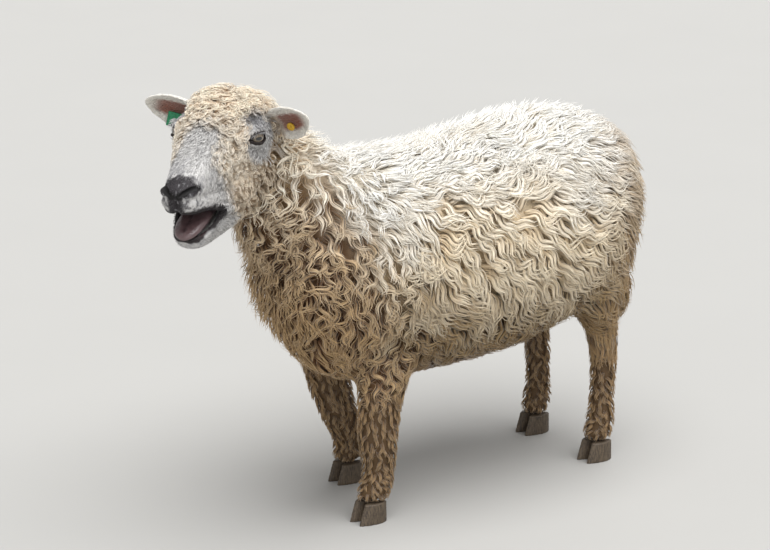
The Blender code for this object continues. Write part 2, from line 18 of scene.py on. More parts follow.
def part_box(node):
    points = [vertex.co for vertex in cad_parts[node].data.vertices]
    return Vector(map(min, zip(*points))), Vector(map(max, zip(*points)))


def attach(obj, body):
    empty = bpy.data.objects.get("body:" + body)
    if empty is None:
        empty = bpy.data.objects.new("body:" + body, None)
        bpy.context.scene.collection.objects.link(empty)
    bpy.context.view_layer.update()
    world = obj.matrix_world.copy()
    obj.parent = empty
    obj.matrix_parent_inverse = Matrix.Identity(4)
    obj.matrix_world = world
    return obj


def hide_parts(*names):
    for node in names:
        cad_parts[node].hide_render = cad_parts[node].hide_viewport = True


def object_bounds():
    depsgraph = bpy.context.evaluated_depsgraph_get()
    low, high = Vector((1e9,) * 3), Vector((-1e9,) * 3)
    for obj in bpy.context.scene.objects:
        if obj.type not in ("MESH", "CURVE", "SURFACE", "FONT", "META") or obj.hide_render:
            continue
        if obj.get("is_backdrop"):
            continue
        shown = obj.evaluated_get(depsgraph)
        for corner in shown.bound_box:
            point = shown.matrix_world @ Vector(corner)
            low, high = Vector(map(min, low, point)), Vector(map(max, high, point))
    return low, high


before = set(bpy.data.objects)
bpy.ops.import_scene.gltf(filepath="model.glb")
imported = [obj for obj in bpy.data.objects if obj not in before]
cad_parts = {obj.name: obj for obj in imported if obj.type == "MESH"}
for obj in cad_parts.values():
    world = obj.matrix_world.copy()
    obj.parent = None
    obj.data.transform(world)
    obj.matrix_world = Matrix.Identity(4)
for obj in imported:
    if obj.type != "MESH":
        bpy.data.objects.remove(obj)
CAD_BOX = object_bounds()

# ---- driving sizes
HEAD_TURN = math.radians(31)     # towards the left flank
HEAD_DROP = math.radians(10)
EYE_RADIUS = 0.0160
EYE_BACK = 0.0060                # eyeball's centre, behind the line between the eyes
EYE_LOOK = Vector((0.92, -0.39, 0.06)).normalized()   # out, forward and a little up

CAMERA_AZIMUTH = math.radians(52)
CAMERA_ELEVATION = math.radians(16)
CAMERA_DISTANCE = 5.0
CAMERA_TARGET = Vector((0.0, -0.027, 0.385))
CAMERA_LENS = 140.26

SIDES = {"left": 1, "right": -1}   # the sign of X on her left and on her right
LEGS = [f"leg_{end}_{side}" for end in ("fore", "hind") for side in SIDES]
BODY_NODES = ["trunk", "neck", "tail"] + [f"{leg}_{part}" for leg in LEGS
                                          for part in ("upper", "lower")]
FLESH_NODES = BODY_NODES + ["head", "lower_jaw", "ear_left", "ear_right"]


# ---- camera
def make_camera():
    """The photograph's viewing angle: from her front left, a little above."""
    level = Vector((math.sin(CAMERA_AZIMUTH), -math.cos(CAMERA_AZIMUTH), 0.0))
    back = level * math.cos(CAMERA_ELEVATION) + Vector((0, 0, math.sin(CAMERA_ELEVATION)))
    data = bpy.data.cameras.new("camera")
    data.lens = CAMERA_LENS
    data.sensor_width = 36.0
    data.clip_end = 100.0
    camera = bpy.data.objects.new("camera", data)
    camera.location = CAMERA_TARGET + back * CAMERA_DISTANCE
    camera.rotation_euler = back.to_track_quat("Z", "Y").to_euler()
    bpy.context.scene.collection.objects.link(camera)
    bpy.context.scene.camera = camera


# ---- the head frame
def box_middle(node):
    low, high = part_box(node)
    return (low + high) / 2


HEAD_AXES = Euler((HEAD_DROP, 0.0, HEAD_TURN)).to_matrix()
EYES = {side: box_middle("eye_" + name) for name, side in SIDES.items()}
EYE_MIDDLE = (EYES[1] + EYES[-1]) / 2 - HEAD_AXES @ Vector((0, EYE_BACK, 0))
HEAD = Matrix.Translation(EYE_MIDDLE) @ HEAD_AXES.to_4x4()
HEAD_INVERSE = np.array(HEAD.inverted())


def head_point(lateral, forward, up):
    """A place on the head: to her left, ahead of the eyes and above them."""
    return HEAD @ Vector((lateral, -forward, up))


def in_head(points):
    """Lateral, forward and up of points given in the frame's axes."""
    local = points @ HEAD_INVERSE[:3, :3].T + HEAD_INVERSE[:3, 3]
    return local[..., 0], -local[..., 1], local[..., 2]


# ---- mesh helpers
def new_object(name, mesh):
    made = bpy.data.objects.new(name, mesh)
    bpy.context.scene.collection.objects.link(made)
    return made


def add_step(thing, kind, **settings):
    step = thing.modifiers.new(kind.lower(), kind)
    for name, value in settings.items():
        setattr(step, name, value)


def apply_all(thing):
    graph = bpy.context.evaluated_depsgraph_get()
    graph.update()
    made = bpy.data.meshes.new_from_object(thing.evaluated_get(graph))
    thing.modifiers.clear()
    old, thing.data = thing.data, made
    bpy.data.meshes.remove(old)


def remesh(thing, voxel, smoothing):
    add_step(thing, "REMESH", mode="VOXEL", voxel_size=voxel)
    add_step(thing, "SMOOTH", iterations=smoothing)
    apply_all(thing)


def boolean(thing, cutter, operation):
    """Cut or join with another object, which is then removed."""
    add_step(thing, "BOOLEAN", operation=operation, solver="MANIFOLD", object=cutter)
    apply_all(thing)
    bpy.data.objects.remove(cutter, do_unlink=True)


def read_triples(rows, field):
    flat = np.empty(len(rows) * 3, np.float32)
    rows.foreach_get(field, flat)
    return flat.reshape(-1, 3).astype(float)


def points_of(mesh):
    return read_triples(mesh.vertices, "co")


def normals_of(mesh):
    return read_triples(mesh.vertex_normals, "vector")


def fill(rows, field, values, kind=np.float32):
    rows.foreach_set(field, values.astype(kind).ravel())


def set_points(mesh, points):
    fill(mesh.vertices, "co", points)
    mesh.update()


def push_out(mesh, amount):
    """Move each point along its normal."""
    set_points(mesh, points_of(mesh) + normals_of(mesh) * np.reshape(amount, (-1, 1)))


def tree_of(mesh):
    return BVHTree.FromPolygons([v.co for v in mesh.vertices],
                                [list(face.vertices) for face in mesh.polygons])


def to_mesh(form, name="form"):
    """The mesh of a bmesh, which is then freed."""
    mesh = bpy.data.meshes.new(name)
    form.to_mesh(mesh)
    form.free()
    return mesh


def joined(name, meshes):
    form = bmesh.new()
    for mesh in meshes:
        form.from_mesh(mesh)
        bpy.data.meshes.remove(mesh)
    return new_object(name, to_mesh(form, name))


NODE_OVERLAP = 0.0005            # by which nodes that meet are swollen before they are joined


def nodes_as_one(name, nodes):
    copies = [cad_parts[node].data.copy() for node in nodes]
    for copy in copies:
        push_out(copy, NODE_OVERLAP)
    return joined(name, copies)


# ---- formulas
def ramp(value, low, high):
    """0 below low, 1 above high, smooth between; high may be the lower one."""
    t = np.clip((value - low) / (high - low), 0.0, 1.0)
    return t * t * (3 - 2 * t)


def bump_at(value, middle, width):
    """A smooth hump of height 1."""
    return np.exp(-((value - middle) / width) ** 2)


def blend_in(base, other, weight):
    weight = np.asarray(weight)
    if np.ndim(other) and weight.ndim:
        weight = weight[..., None]
    return base + (other - base) * weight


class Swirl:
    """Smooth noise from a sum of plane waves, about -1 to 1."""

    def __init__(self, size, seed, waves=9):
        draws = np.random.default_rng(seed)
        turns = draws.normal(size=(waves, 3))
        turns /= np.linalg.norm(turns, axis=1)[:, None]
        self.turns = turns * (math.tau / size) * draws.uniform(0.6, 1.5, (waves, 1))
        self.shift = draws.uniform(0, math.tau, waves)

    def __call__(self, points):
        return np.sin(points @ self.turns.T + self.shift).sum(-1) / math.sqrt(len(self.shift))


# ---- lofts
def turns(count):
    """Angles evenly spaced, once round."""
    return [math.tau * k / count for k in range(count)]


def smooth_rows(rows, step, columns):
    """Catmull-Rom rows between the given ones; the first columns are a position."""
    padded = [rows[0]] + list(rows) + [rows[-1]]
    made = []
    for i in range(1, len(padded) - 2):
        before, here, there, after = padded[i - 1:i + 3]
        count = max(1, round(math.dist(here[:columns], there[:columns]) / step))
        for k in range(count):
            t = k / count
            made.append(tuple(
                0.5 * (2 * b + (c - a) * t + (2 * a - 5 * b + 4 * c - d) * t * t
                       + (3 * b - a - 3 * c + d) * t ** 3)
                for a, b, c, d in zip(before, here, there, after)))
    made.append(tuple(rows[-1]))
    return made


def mesh_from_rings(rings, name="form", endless=False):
    """Faces from ring to ring. The last one meets the first, or else both are capped."""
    form = bmesh.new()
    loops = [[form.verts.new(point) for point in ring] for ring in rings]
    for low, high in zip(loops, loops[1:] + (loops[:1] if endless else [])):
        for corners in zip(low, low[1:] + low[:1], high[1:] + high[:1], high):
            form.faces.new(corners)
    if not endless:
        form.faces.new(loops[0][::-1])
        form.faces.new(loops[-1])
    bmesh.ops.recalc_face_normals(form, faces=form.faces)
    return to_mesh(form, name)


def head_loft(rows, power, sides=48, step=0.006, name="form"):
    """Upright super-ellipses along the head: forward, up, half width, up, down."""
    def bowed(value):
        return math.copysign(abs(value) ** (2 / power), value)

    return mesh_from_rings(
        [[head_point(bowed(math.cos(turn)) * max(width, 0.001), forward,
                     up + bowed(math.sin(turn)) * (above if math.sin(turn) > 0 else below))
          for turn in turns(sides)]
         for forward, up, width, above, below in smooth_rows(rows, step, 2)], name)


def head_tube(rows, sides=16, step=0.003):
    """A round bar through places on the head: lateral, forward, up, radius."""
    rows = smooth_rows(rows, step, 3)
    spots = [head_point(*row[:3]) for row in rows]
    rings = []
    for i, row in enumerate(rows):
        ahead = (spots[min(i + 1, len(spots) - 1)] - spots[max(i - 1, 0)]).normalized()
        aside = ahead.orthogonal().normalized() if i == 0 else (
            aside - ahead * aside.dot(ahead)).normalized()
        above = ahead.cross(aside)
        rings.append([spots[i] + (aside * math.cos(turn) + above * math.sin(turn)) * row[3]
                      for turn in turns(sides)])
    return mesh_from_rings(rings)


def ball(centre, radii, axes=Matrix.Identity(3), detail=4):
    form = bmesh.new()
    bmesh.ops.create_icosphere(form, subdivisions=detail, radius=1.0)
    place = Matrix.Translation(centre) @ axes.to_4x4() @ Matrix.Diagonal((*radii, 1.0))
    bmesh.ops.transform(form, matrix=place, verts=form.verts)
    return to_mesh(form)


# ---- skin of the body
BODY_VOXEL = 0.0076
WOOL_DEPTH = 0.026               # of the fleece on trunk and neck
TAIL_DEPTH = 0.018
LEG_DEPTH = 0.0055               # of the short wool on the shanks
CLAW_DEPTH = 0.003               # just above the claws
DRAW_IN_STEPS = 4
NAPE_NARROWING = 0.34


def coat_depth(points):
    """How far the skin lies inside the solids, at places on trunk, neck, tail and legs."""
    x, y, z = points.T
    depth = LEG_DEPTH + (WOOL_DEPTH - LEG_DEPTH) * ramp(z, 0.20, 0.33)
    tail = ramp(y, 0.445, 0.465) * ramp(np.abs(x), 0.070, 0.050)
    depth = blend_in(depth, TAIL_DEPTH, tail)
    return blend_in(depth, CLAW_DEPTH, ramp(z, 0.075, 0.035))


def taper_nape(points):
    """Narrow the neck's end, so that it runs into the back of the skull."""
    base = np.array(head_point(0, -0.080, -0.050))
    axis = np.array(HEAD_AXES @ Vector((0, -0.80, 0.60)))
    ahead = (points - base) @ axis
    spine = base + ahead[:, None] * axis
    narrow = 1 - NAPE_NARROWING * ramp(ahead, -0.075, -0.005)
    return spine + (points - spine) * narrow[:, None]


def body_skin():
    """The nodes of the body as one form, drawn in by the depth of the coat."""
    skin = nodes_as_one("skin", BODY_NODES)
    remesh(skin, BODY_VOXEL, smoothing=4)
    depth = coat_depth(points_of(skin.data))
    for _ in range(DRAW_IN_STEPS):
        push_out(skin.data, -depth / DRAW_IN_STEPS)
        add_step(skin, "SMOOTH", iterations=3)
        apply_all(skin)
    set_points(skin.data, taper_nape(points_of(skin.data)))
    remesh(skin, BODY_VOXEL, smoothing=3)
    return skin


# ---- skin of the head
HEAD_VOXEL = 0.0018
# Forward, up, half width, reach up, reach down
SKULL = [
    (-0.125, -0.036, 0.030, 0.026, 0.040),
    (-0.098, -0.026, 0.050, 0.042, 0.070),
    (-0.066, -0.018, 0.064, 0.054, 0.098),
    (-0.030, -0.016, 0.068, 0.056, 0.112),
    (0.002, -0.020, 0.062, 0.053, 0.106),
    (0.034, -0.026, 0.051, 0.048, 0.088),
    (0.060, -0.030, 0.044, 0.043, 0.056),
    (0.088, -0.034, 0.038, 0.038, 0.041),
    (0.116, -0.038, 0.0325, 0.0315, 0.0315),
    (0.140, -0.041, 0.0285, 0.0260, 0.0270),
    (0.156, -0.043, 0.0225, 0.0200, 0.0225),
    (0.166, -0.045, 0.0130, 0.0110, 0.0120),
]
JAW = [
    (-0.045, -0.082, 0.034, 0.030, 0.038),
    (-0.010, -0.096, 0.050, 0.028, 0.037),
    (0.030, -0.107, 0.046, 0.018, 0.031),
    (0.062, -0.115, 0.0385, 0.0115, 0.0255),
    (0.095, -0.119, 0.0320, 0.0095, 0.0215),
    (0.120, -0.121, 0.0275, 0.0075, 0.0180),
    (0.136, -0.122, 0.0200, 0.0060, 0.0125),
    (0.143, -0.121, 0.0090, 0.0030, 0.0055),
]
MOUTH = [
    (0.030, -0.090, 0.024, 0.008, 0.010),
    (0.060, -0.098, 0.029, 0.013, 0.016),
    (0.090, -0.104, 0.0265, 0.015, 0.017),
    (0.118, -0.108, 0.0220, 0.014, 0.014),
    (0.133, -0.110, 0.0120, 0.010, 0.010),
]
# One side of the lips, from the corner of the mouth to the middle: lateral, forward, up, radius
UPPER_LIP = [
    (0.0385, 0.076, -0.0835, 0.0045),
    (0.0360, 0.092, -0.0775, 0.0055),
    (0.0305, 0.112, -0.0695, 0.0060),
    (0.0265, 0.132, -0.0645, 0.0065),
    (0.0190, 0.149, -0.0620, 0.0068),
    (0.0095, 0.158, -0.0600, 0.0064),
    (0.0050, 0.159, -0.0585, 0.0055),
]
UPPER_CHEEK = [
    (0.0300, 0.050, -0.0750, 0.0140),
    (0.0275, 0.080, -0.0680, 0.0130),
    (0.0250, 0.110, -0.0600, 0.0120),
    (0.0190, 0.140, -0.0540, 0.0105),
]
LOWER_LIP = [
    (0.0380, 0.074, -0.0880, 0.0042),
    (0.0350, 0.088, -0.1000, 0.0048),
    (0.0300, 0.105, -0.1095, 0.0050),
    (0.0245, 0.122, -0.1150, 0.0050),
    (0.0155, 0.137, -0.1175, 0.0050),
    (0.0000, 0.1415, -0.1180, 0.0048),
]
MOUTH_CORNER = [
    (0.0330, 0.046, -0.0980, 0.0130),
    (0.0345, 0.062, -0.0900, 0.0110),
    (0.0350, 0.075, -0.0850, 0.0070),
]
NOSTRIL = [
    (0.0060, 0.1655, -0.0345, 0.0012),
    (0.0105, 0.1645, -0.0318, 0.0034),
    (0.0165, 0.1600, -0.0285, 0.0048),
    (0.0230, 0.1525, -0.0265, 0.0052),
    (0.0280, 0.1440, -0.0260, 0.0046),
    (0.0308, 0.1370, -0.0285, 0.0022),
]


# Middle (lateral, forward, up) and half width, length and height of the round forms of one side
SIDE_FORMS = [
    ((0.0190, 0.147, -0.0325), (0.0108, 0.0165, 0.0100)),   # wing of the nostril
    ((0.0150, 0.150, -0.050), (0.0145, 0.0125, 0.0130)),    # pad of the upper lip
    ((0.044, 0.008, -0.068), (0.017, 0.048, 0.036)),        # cheek
    ((0.050, -0.006, 0.008), (0.016, 0.030, 0.016)),        # brow
]
NOSE_PAD = (0, 0.143, -0.034), (0.0280, 0.0230, 0.0145)
LID_THICKNESS = 0.0030


def mirrored(rows, side):
    return [(row[0] * side, *row[1:]) for row in rows]


def head_forms():
    """Skull, jaw and the rounded forms that stand out on them."""
    yield head_loft(SKULL, power=2.35)
    yield head_loft(JAW, power=2.3)
    yield ball(head_point(*NOSE_PAD[0]), NOSE_PAD[1], HEAD_AXES)
    for side in SIDES.values():
        for rows in (UPPER_LIP, LOWER_LIP, UPPER_CHEEK, MOUTH_CORNER):
            yield head_tube(mirrored(rows, side))
        for (lateral, forward, up), radii in SIDE_FORMS:
            yield ball(head_point(side * lateral, forward, up), radii, HEAD_AXES)
        yield ball(EYES[side], (EYE_RADIUS + LID_THICKNESS,) * 3)
        yield ear_form(side)


# ---- ears
EAR_LENGTH = 0.088
EAR_ROOT = {1: Vector((0.062, 0.066, -0.008)), -1: Vector((-0.062, 0.066, -0.004))}
EAR_LIFT = {1: 0.28, -1: 0.29}
# Part of the length, half width, depth of the cup, thickness, rise of the middle
EAR = [
    (-0.16, 0.014, 0.014, 0.0120, -0.002),
    (0.00, 0.019, 0.014, 0.0085, -0.002),
    (0.24, 0.0310, 0.015, 0.0056, 0.000),
    (0.50, 0.0335, 0.012, 0.0048, 0.002),
    (0.74, 0.0255, 0.008, 0.0044, 0.005),
    (0.91, 0.0142, 0.003, 0.0040, 0.007),
    (0.985, 0.0045, 0.001, 0.0030, 0.008),
]
EAR_POINTS = 15                  # across each of its faces


def ear_axes(side):
    """The ear's root, and the ways along it, across it and out of its open face, on the head."""
    along = Vector((0.90 * side, -0.24, EAR_LIFT[side])).normalized()
    across = Vector((0.30 * side, -0.93, -0.22)).cross(along).normalized()
    if across.z < 0:
        across.negate()
    face = along.cross(across).normalized()
    if face.y > 0:
        face.negate()
    return EAR_ROOT[side], along, across, face


def ear_form(side):
    """A shallow cup that tapers to its tip."""
    root, along, across, face = ear_axes(side)
    rings = []
    for part, half, cup, thick, rise in smooth_rows(EAR, 0.05, 1):
        middle = root + along * (part * EAR_LENGTH) + across * rise
        back, front = [], []
        for k in range(EAR_POINTS):
            t = 2 * k / (EAR_POINTS - 1) - 1
            bow = cup * (1 - t * t)
            full = thick * (0.45 + 0.55 * math.sqrt(1 - t * t)) / 2
            spot = middle + across * (t * half)
            back.append(HEAD @ (spot - face * (bow + full)))
            front.append(HEAD @ (spot - face * (bow - full)))
        rings.append(back + front[::-1])
    return mesh_from_rings(rings)


# ---- lids
LID_WIDE = 0.0165                # half the length of the eye's opening
LID_UP, LID_DOWN = 0.0086, 0.0066
LID_TILT = math.radians(-11)     # outer corner above the inner one
# Depth in the eye and size of the rings that cut the opening
LID_CUT = ((0.004, 0.93), (0.0135, 0.98), (0.0165, 1.02), (0.030, 1.40))
RIM_LIFT, RIM_ASIDE = 0.0021, 0.0012   # of the rim's middle line, off the ball and the opening
RIM_WIDE, RIM_HIGH = 0.0020, 0.0017    # radii of the rim
SOCKET_GAP = 0.0003              # round the eyeball
GROOVE_DEPTH = 0.0030            # of the philtrum and of the tear duct


def eye_axes(side):
    """Columns: towards the nose, up, and out of the eye."""
    look = HEAD_AXES @ Vector((EYE_LOOK.x * side, EYE_LOOK.y, EYE_LOOK.z))
    nose = HEAD_AXES @ Vector((0, -1, 0))
    nose = (nose - look * nose.dot(look)).normalized()
    up = look.cross(nose)
    if up.z < 0:
        up.negate()
    turned = nose * math.cos(LID_TILT) - up * math.sin(LID_TILT)
    upward = up * math.cos(LID_TILT) + nose * math.sin(LID_TILT)
    return Matrix((turned, upward, look)).transposed()


def from_eyes(points):
    """For each eye, the places measured from its middle along its axes."""
    for side, centre in EYES.items():
        yield (points - np.array(centre)) @ np.array(eye_axes(side))


def lid_line(turn):
    """Outline of the opening, pointed towards the nose."""
    along, rise = math.cos(turn), math.sin(turn)
    height = LID_UP if rise > 0 else LID_DOWN
    pinch = 1 - 0.35 * max(along, 0.0) ** 3
    return along * LID_WIDE * (1.12 if along > 0 else 1.0), rise * height * pinch


def lid_opening(side):
    """Cutter for the slit between the lids, widening outwards."""
    axes, outline = eye_axes(side), [lid_line(turn) for turn in turns(40)]
    return mesh_from_rings([[EYES[side] + axes @ Vector((along * grow, rise * grow, depth))
                             for along, rise in outline] for depth, grow in LID_CUT])


def lid_rim(side):
    """The wet dark margin of the lids, a ring that follows the eyeball."""
    axes, rings = eye_axes(side), []
    for turn in turns(64):
        flat = Vector((*lid_line(turn), 0.0))
        lift = math.sqrt(max((EYE_RADIUS + RIM_LIFT) ** 2 - flat.length_squared, 1e-6))
        spot = flat + Vector((0, 0, lift))
        out, outward = spot.normalized(), flat.normalized()
        outward = (outward - out * outward.dot(out)).normalized()
        rings.append([EYES[side] + axes @ (spot + outward * RIM_ASIDE + (
            outward * math.cos(a) * RIM_WIDE + out * math.sin(a) * RIM_HIGH))
            for a in turns(8)])
    return mesh_from_rings(rings, endless=True)


def head_folds(points):
    """How far folds and hollows that are finer than the forms stand out."""
    lateral, forward, up = in_head(points)
    aside = np.abs(lateral)
    philtrum = bump_at(aside, 0, 0.0022) * bump_at(up, -0.050, 0.014) * ramp(forward, 0.150, 0.158)
    tear = bump_at(aside, 0.052, 0.006) * bump_at(forward, 0.026, 0.007) * bump_at(up, -0.016, 0.006)
    push = -GROOVE_DEPTH * philtrum - GROOVE_DEPTH * tear
    for toward, rise, out in (local.T for local in from_eyes(points)):
        ring = np.hypot(toward / 1.45, rise)
        near = ramp(out, 0.0, 0.008)
        fold = bump_at(ring, 0.0165, 0.0016) - 0.7 * bump_at(ring, 0.0135, 0.0014)
        push -= 0.0011 * fold * near * ramp(rise, -0.004, 0.004)
        push -= 0.0008 * bump_at(ring, 0.0160, 0.0018) * near * ramp(rise, 0.004, -0.004)
    nose = ramp(forward, 0.120, 0.140) * ramp(up, -0.066, -0.058)
    return push + 0.0002 * nose * Swirl(0.006, 31)(points)


def head_skin():
    head = joined("head_skin", list(head_forms()))
    remesh(head, HEAD_VOXEL, smoothing=5)
    push_out(head.data, head_folds(points_of(head.data)))
    boolean(head, new_object("mouth", head_loft(MOUTH, power=2.2, sides=28)), "DIFFERENCE")
    for side in SIDES.values():
        socket = ball(EYES[side], (EYE_RADIUS + SOCKET_GAP,) * 3, detail=5)
        for hollow in (head_tube(mirrored(NOSTRIL, side)), socket, lid_opening(side)):
            boolean(head, new_object("hollow", hollow), "DIFFERENCE")
        boolean(head, new_object("rim", lid_rim(side)), "UNION")
    return head


def keep_largest(thing):
    """Drop loose crumbs, and shade smooth."""
    form = bmesh.new()
    form.from_mesh(thing.data)
    unseen, bodies = set(form.verts), []
    while unseen:
        body, edge = set(), [unseen.pop()]
        while edge:
            vertex = edge.pop()
            body.add(vertex)
            for link in vertex.link_edges:
                other = link.other_vert(vertex)
                if other in unseen:
                    unseen.discard(other)
                    edge.append(other)
        bodies.append(body)
    bodies.sort(key=len)
    for body in bodies[:-1]:
        bmesh.ops.delete(form, geom=list(body), context="VERTS")
    bmesh.ops.triangulate(form, faces=form.faces)
    form.to_mesh(thing.data)
    form.free()
    thing.data.shade_smooth()


def make_skin():
    skin = body_skin()
    boolean(skin, head_skin(), "UNION")
    keep_largest(skin)
    skin.name = "skin"
    return skin


# ---- colours
def linear(red, green, blue):
    """A colour given as it looks on screen, 0 to 255."""
    return np.array([c / 255 / 12.92 if c < 10.3 else ((c / 255 + 0.055) / 1.055) ** 2.4
                     for c in (red, green, blue)])


def tip_and_root(tip, root):
    """The two colours of a strand, stacked so that they are blended together."""
    return np.stack([linear(*tip), linear(*root)])[:, None]


# Each strand runs from its tip's colour to its root's. The darker roots are partly the wool's own colour
# and partly painted shade deep in the fleece, between the locks.
BACK_WOOL = tip_and_root((253, 251, 246), (248, 240, 225))
FLANK_WOOL = tip_and_root((240, 226, 200), (216, 192, 154))
LOW_WOOL = tip_and_root((156, 128, 82), (124, 96, 56))
NECK_HIGH = tip_and_root((248, 238, 218), (206, 176, 134))
NECK_WOOL = tip_and_root((219, 194, 157), (134, 98, 62))
CHEST_WOOL = tip_and_root((196, 164, 118), (112, 78, 44))
CHEST_RUST = tip_and_root((196, 164, 118), (136, 92, 56))
BELLY_WOOL = tip_and_root((146, 120, 88), (88, 66, 46))
LEG_WOOL = tip_and_root((160, 130, 90), (112, 86, 56))
REAR_WOOL = tip_and_root((172, 142, 98), (128, 98, 66))
TOP_WOOL = tip_and_root((255, 243, 222), (198, 160, 118))
CHEEK_WOOL = tip_and_root((236, 222, 200), (160, 134, 104))
EDGE_CURLS = tip_and_root((246, 238, 224), (204, 184, 156))
FACE_WHITE = linear(228, 226, 224)
FACE_GREY = linear(186, 185, 188)
BROW_GREY = linear(130, 128, 132)
NOSE_DARK = linear(46, 42, 45)
LIP_DARK = linear(38, 32, 33)
RIM_DARK = linear(34, 26, 24)
# Painted shade in the nostrils, near black.
NOSTRIL_SHADE = linear(14, 11, 11)
# The mouth's dark lining, with painted shade inside the mouth.
MOUTH_LINING_AND_SHADE = linear(56, 36, 37)
EAR_WHITE = linear(252, 248, 240)
EAR_PINK = linear(158, 96, 76)
TONGUE_MAUVE = linear(104, 82, 83)
# Painted shade at the back of the tongue and in its groove.
TONGUE_SHADE = linear(58, 42, 45)
EYE_DARK = linear(40, 30, 26)
IRIS_LIGHT = linear(150, 138, 120)
IRIS_BROWN = linear(96, 82, 66)
PUPIL_BLACK = linear(8, 8, 10)

# Noise of four sizes, which mottles the colours and roughens their borders
BLOTCH = Swirl(0.16, 3)
PATCH = Swirl(0.06, 5)
FLECK = Swirl(0.012, 11)
SPECK = Swirl(0.005, 12)

FACE_EDGE_UP = [-0.114, -0.085, -0.059, -0.031, -0.008, 0.006, 0.019]
FACE_EDGE_FORWARD = [0.046, 0.055, 0.060, 0.080, 0.090, 0.066, 0.039]


def face_edge(up):
    """How far ahead of the eyes the wool of the cheeks reaches."""
    return np.interp(up, FACE_EDGE_UP, FACE_EDGE_FORWARD)


def orbit_ring(forward, up):
    """1 on the outline of the short-haired patch round the eye, less inside."""
    return np.hypot((forward + 0.026) / 0.043, (up + 0.009) / 0.039)


def wool_inside(spots):
    """How far inside the edge of the curls a place on the head is."""
    lateral, forward, up = in_head(spots)
    from_bridge = np.maximum(np.abs(lateral) - 0.034, 0.036 - forward)
    return np.minimum(face_edge(up) - forward, from_bridge)


def near_eye(spots):
    """1 beside the short-haired patch round the eye, where curls have to stay short."""
    lateral, forward, up = in_head(spots)
    return ramp(orbit_ring(forward, up), 1.60, 1.05) * ramp(np.abs(lateral), 0.025, 0.040)


def head_weights(points):
    """How much a place belongs to the head, its short hair, an eye's patch and the topknot."""
    lateral, forward, up = in_head(points)
    aside = np.abs(lateral)
    reach = 0.8 * (forward + 0.05) + 0.6 * (up + 0.05)
    head = ramp(reach + 0.010 * PATCH(points), -0.020, 0.010)
    wander = 0.005 * PATCH(points) + 0.004 * FLECK(points)
    edge = face_edge(up)
    face = ramp(forward + wander, edge - 0.008, edge + 0.010)
    bridge = ramp(aside + 1.3 * wander, 0.041, 0.027)
    bridge = bridge * ramp(forward + 1.5 * wander - 14.0 * aside ** 2, 0.012, 0.036)
    orbit = ramp(orbit_ring(forward, up) + 10 * wander, 1.12, 0.88) * ramp(aside, 0.036, 0.046)
    chin = ramp(up, -0.104, -0.114) * ramp(forward + wander, 0.034, 0.052)
    face = np.maximum.reduce([face, bridge, orbit, chin])
    top = ramp(up + 0.25 * forward + wander, -0.014, 0.010) * (1 - face)
    return head, face, orbit, top


def ear_weight(points):
    """1 on an ear, 1 on the bare middle of its open face, and 1 at its rim."""
    weight, inner, at_rim = np.zeros((3, len(points)))
    lateral, forward, up = in_head(points)
    local, rows = np.stack([lateral, -forward, up], -1), np.array(EAR)
    for side in SIDES.values():
        root, along, across, face = (np.array(v) for v in ear_axes(side))
        gap = local - root
        length = (gap @ along) / EAR_LENGTH
        half, cup, rise = (np.interp(length, rows[:, 0], rows[:, i]) for i in (1, 2, 4))
        t = (gap @ across - rise) / np.maximum(half, 0.004)
        out = gap @ face + cup * (1 - np.clip(t, -1, 1) ** 2)
        on = ramp(length, 0.06, 0.24) * (np.abs(t) < 1.35) * (length < 1.15) * (np.abs(out) < 0.012)
        bare = ramp(out, -0.0005, 0.0008) * ramp(np.abs(t + 0.08), 0.62, 0.38) * ramp(length, 0.88, 0.62)
        weight = np.maximum(weight, on)
        inner = np.maximum(inner, on * bare)
        at_rim = np.maximum(at_rim, on * ramp(np.abs(t), 0.72, 0.95))
    return weight, inner, at_rim


def rear_weight(points):
    """1 on the tail and the back of the thighs, where the wool hangs straight and is tan, partly its own
    colour and partly painted shade.
    """
    x, y, z = points.T
    behind = y + 0.30 * np.abs(x) - 0.25 * (z - 0.45) + 0.030 * PATCH(points)
    return ramp(behind, 0.30, 0.46) * ramp(z + 0.02 * BLOTCH(points), 0.72, 0.48)


def fleece_colours(points):
    """Tips and roots of the fleece: white above, cream on the flanks, brown low down, partly the fleece's
    own colour and partly painted light on top and painted shade low on flanks, chest, belly, legs and
    rear.
    """
    x, y, z = points.T
    blotch, patch = BLOTCH(points), PATCH(points)
    back = ramp(z + 0.025 * blotch + 0.012 * patch, 0.44, 0.60)
    low = ramp(z + 0.03 * patch + 0.012 * blotch, 0.45, 0.28)
    belly = ramp(z + 0.02 * patch, 0.34, 0.235) * ramp(np.abs(x), 0.17, 0.10)
    ruff = ramp(y + 0.35 * (z - 0.45) + 0.03 * patch, -0.095, -0.225)
    high = ramp(z + 0.02 * patch, 0.50, 0.62)
    chest = ruff * ramp(z + 0.03 * patch, 0.52, 0.36)
    rust = ruff * ramp(z + 0.03 * patch, 0.58, 0.48) * ramp(x + 0.03 * patch, -0.075, 0.0)
    rust = rust * ramp(patch + 0.4 * blotch, -0.3, 1.0)
    leg = ramp(z + 0.012 * patch, 0.275, 0.215)
    colours = blend_in(FLANK_WOOL, BACK_WOOL, back)
    for weight, wool in ((low, LOW_WOOL), (belly, BELLY_WOOL),
                         (ruff, blend_in(NECK_WOOL, NECK_HIGH, high)), (chest, CHEST_WOOL),
                         (0.7 * rust, CHEST_RUST), (0.95 * rear_weight(points), REAR_WOOL),
                         (leg, LEG_WOOL)):
        colours = blend_in(colours, wool, weight)
    return colours


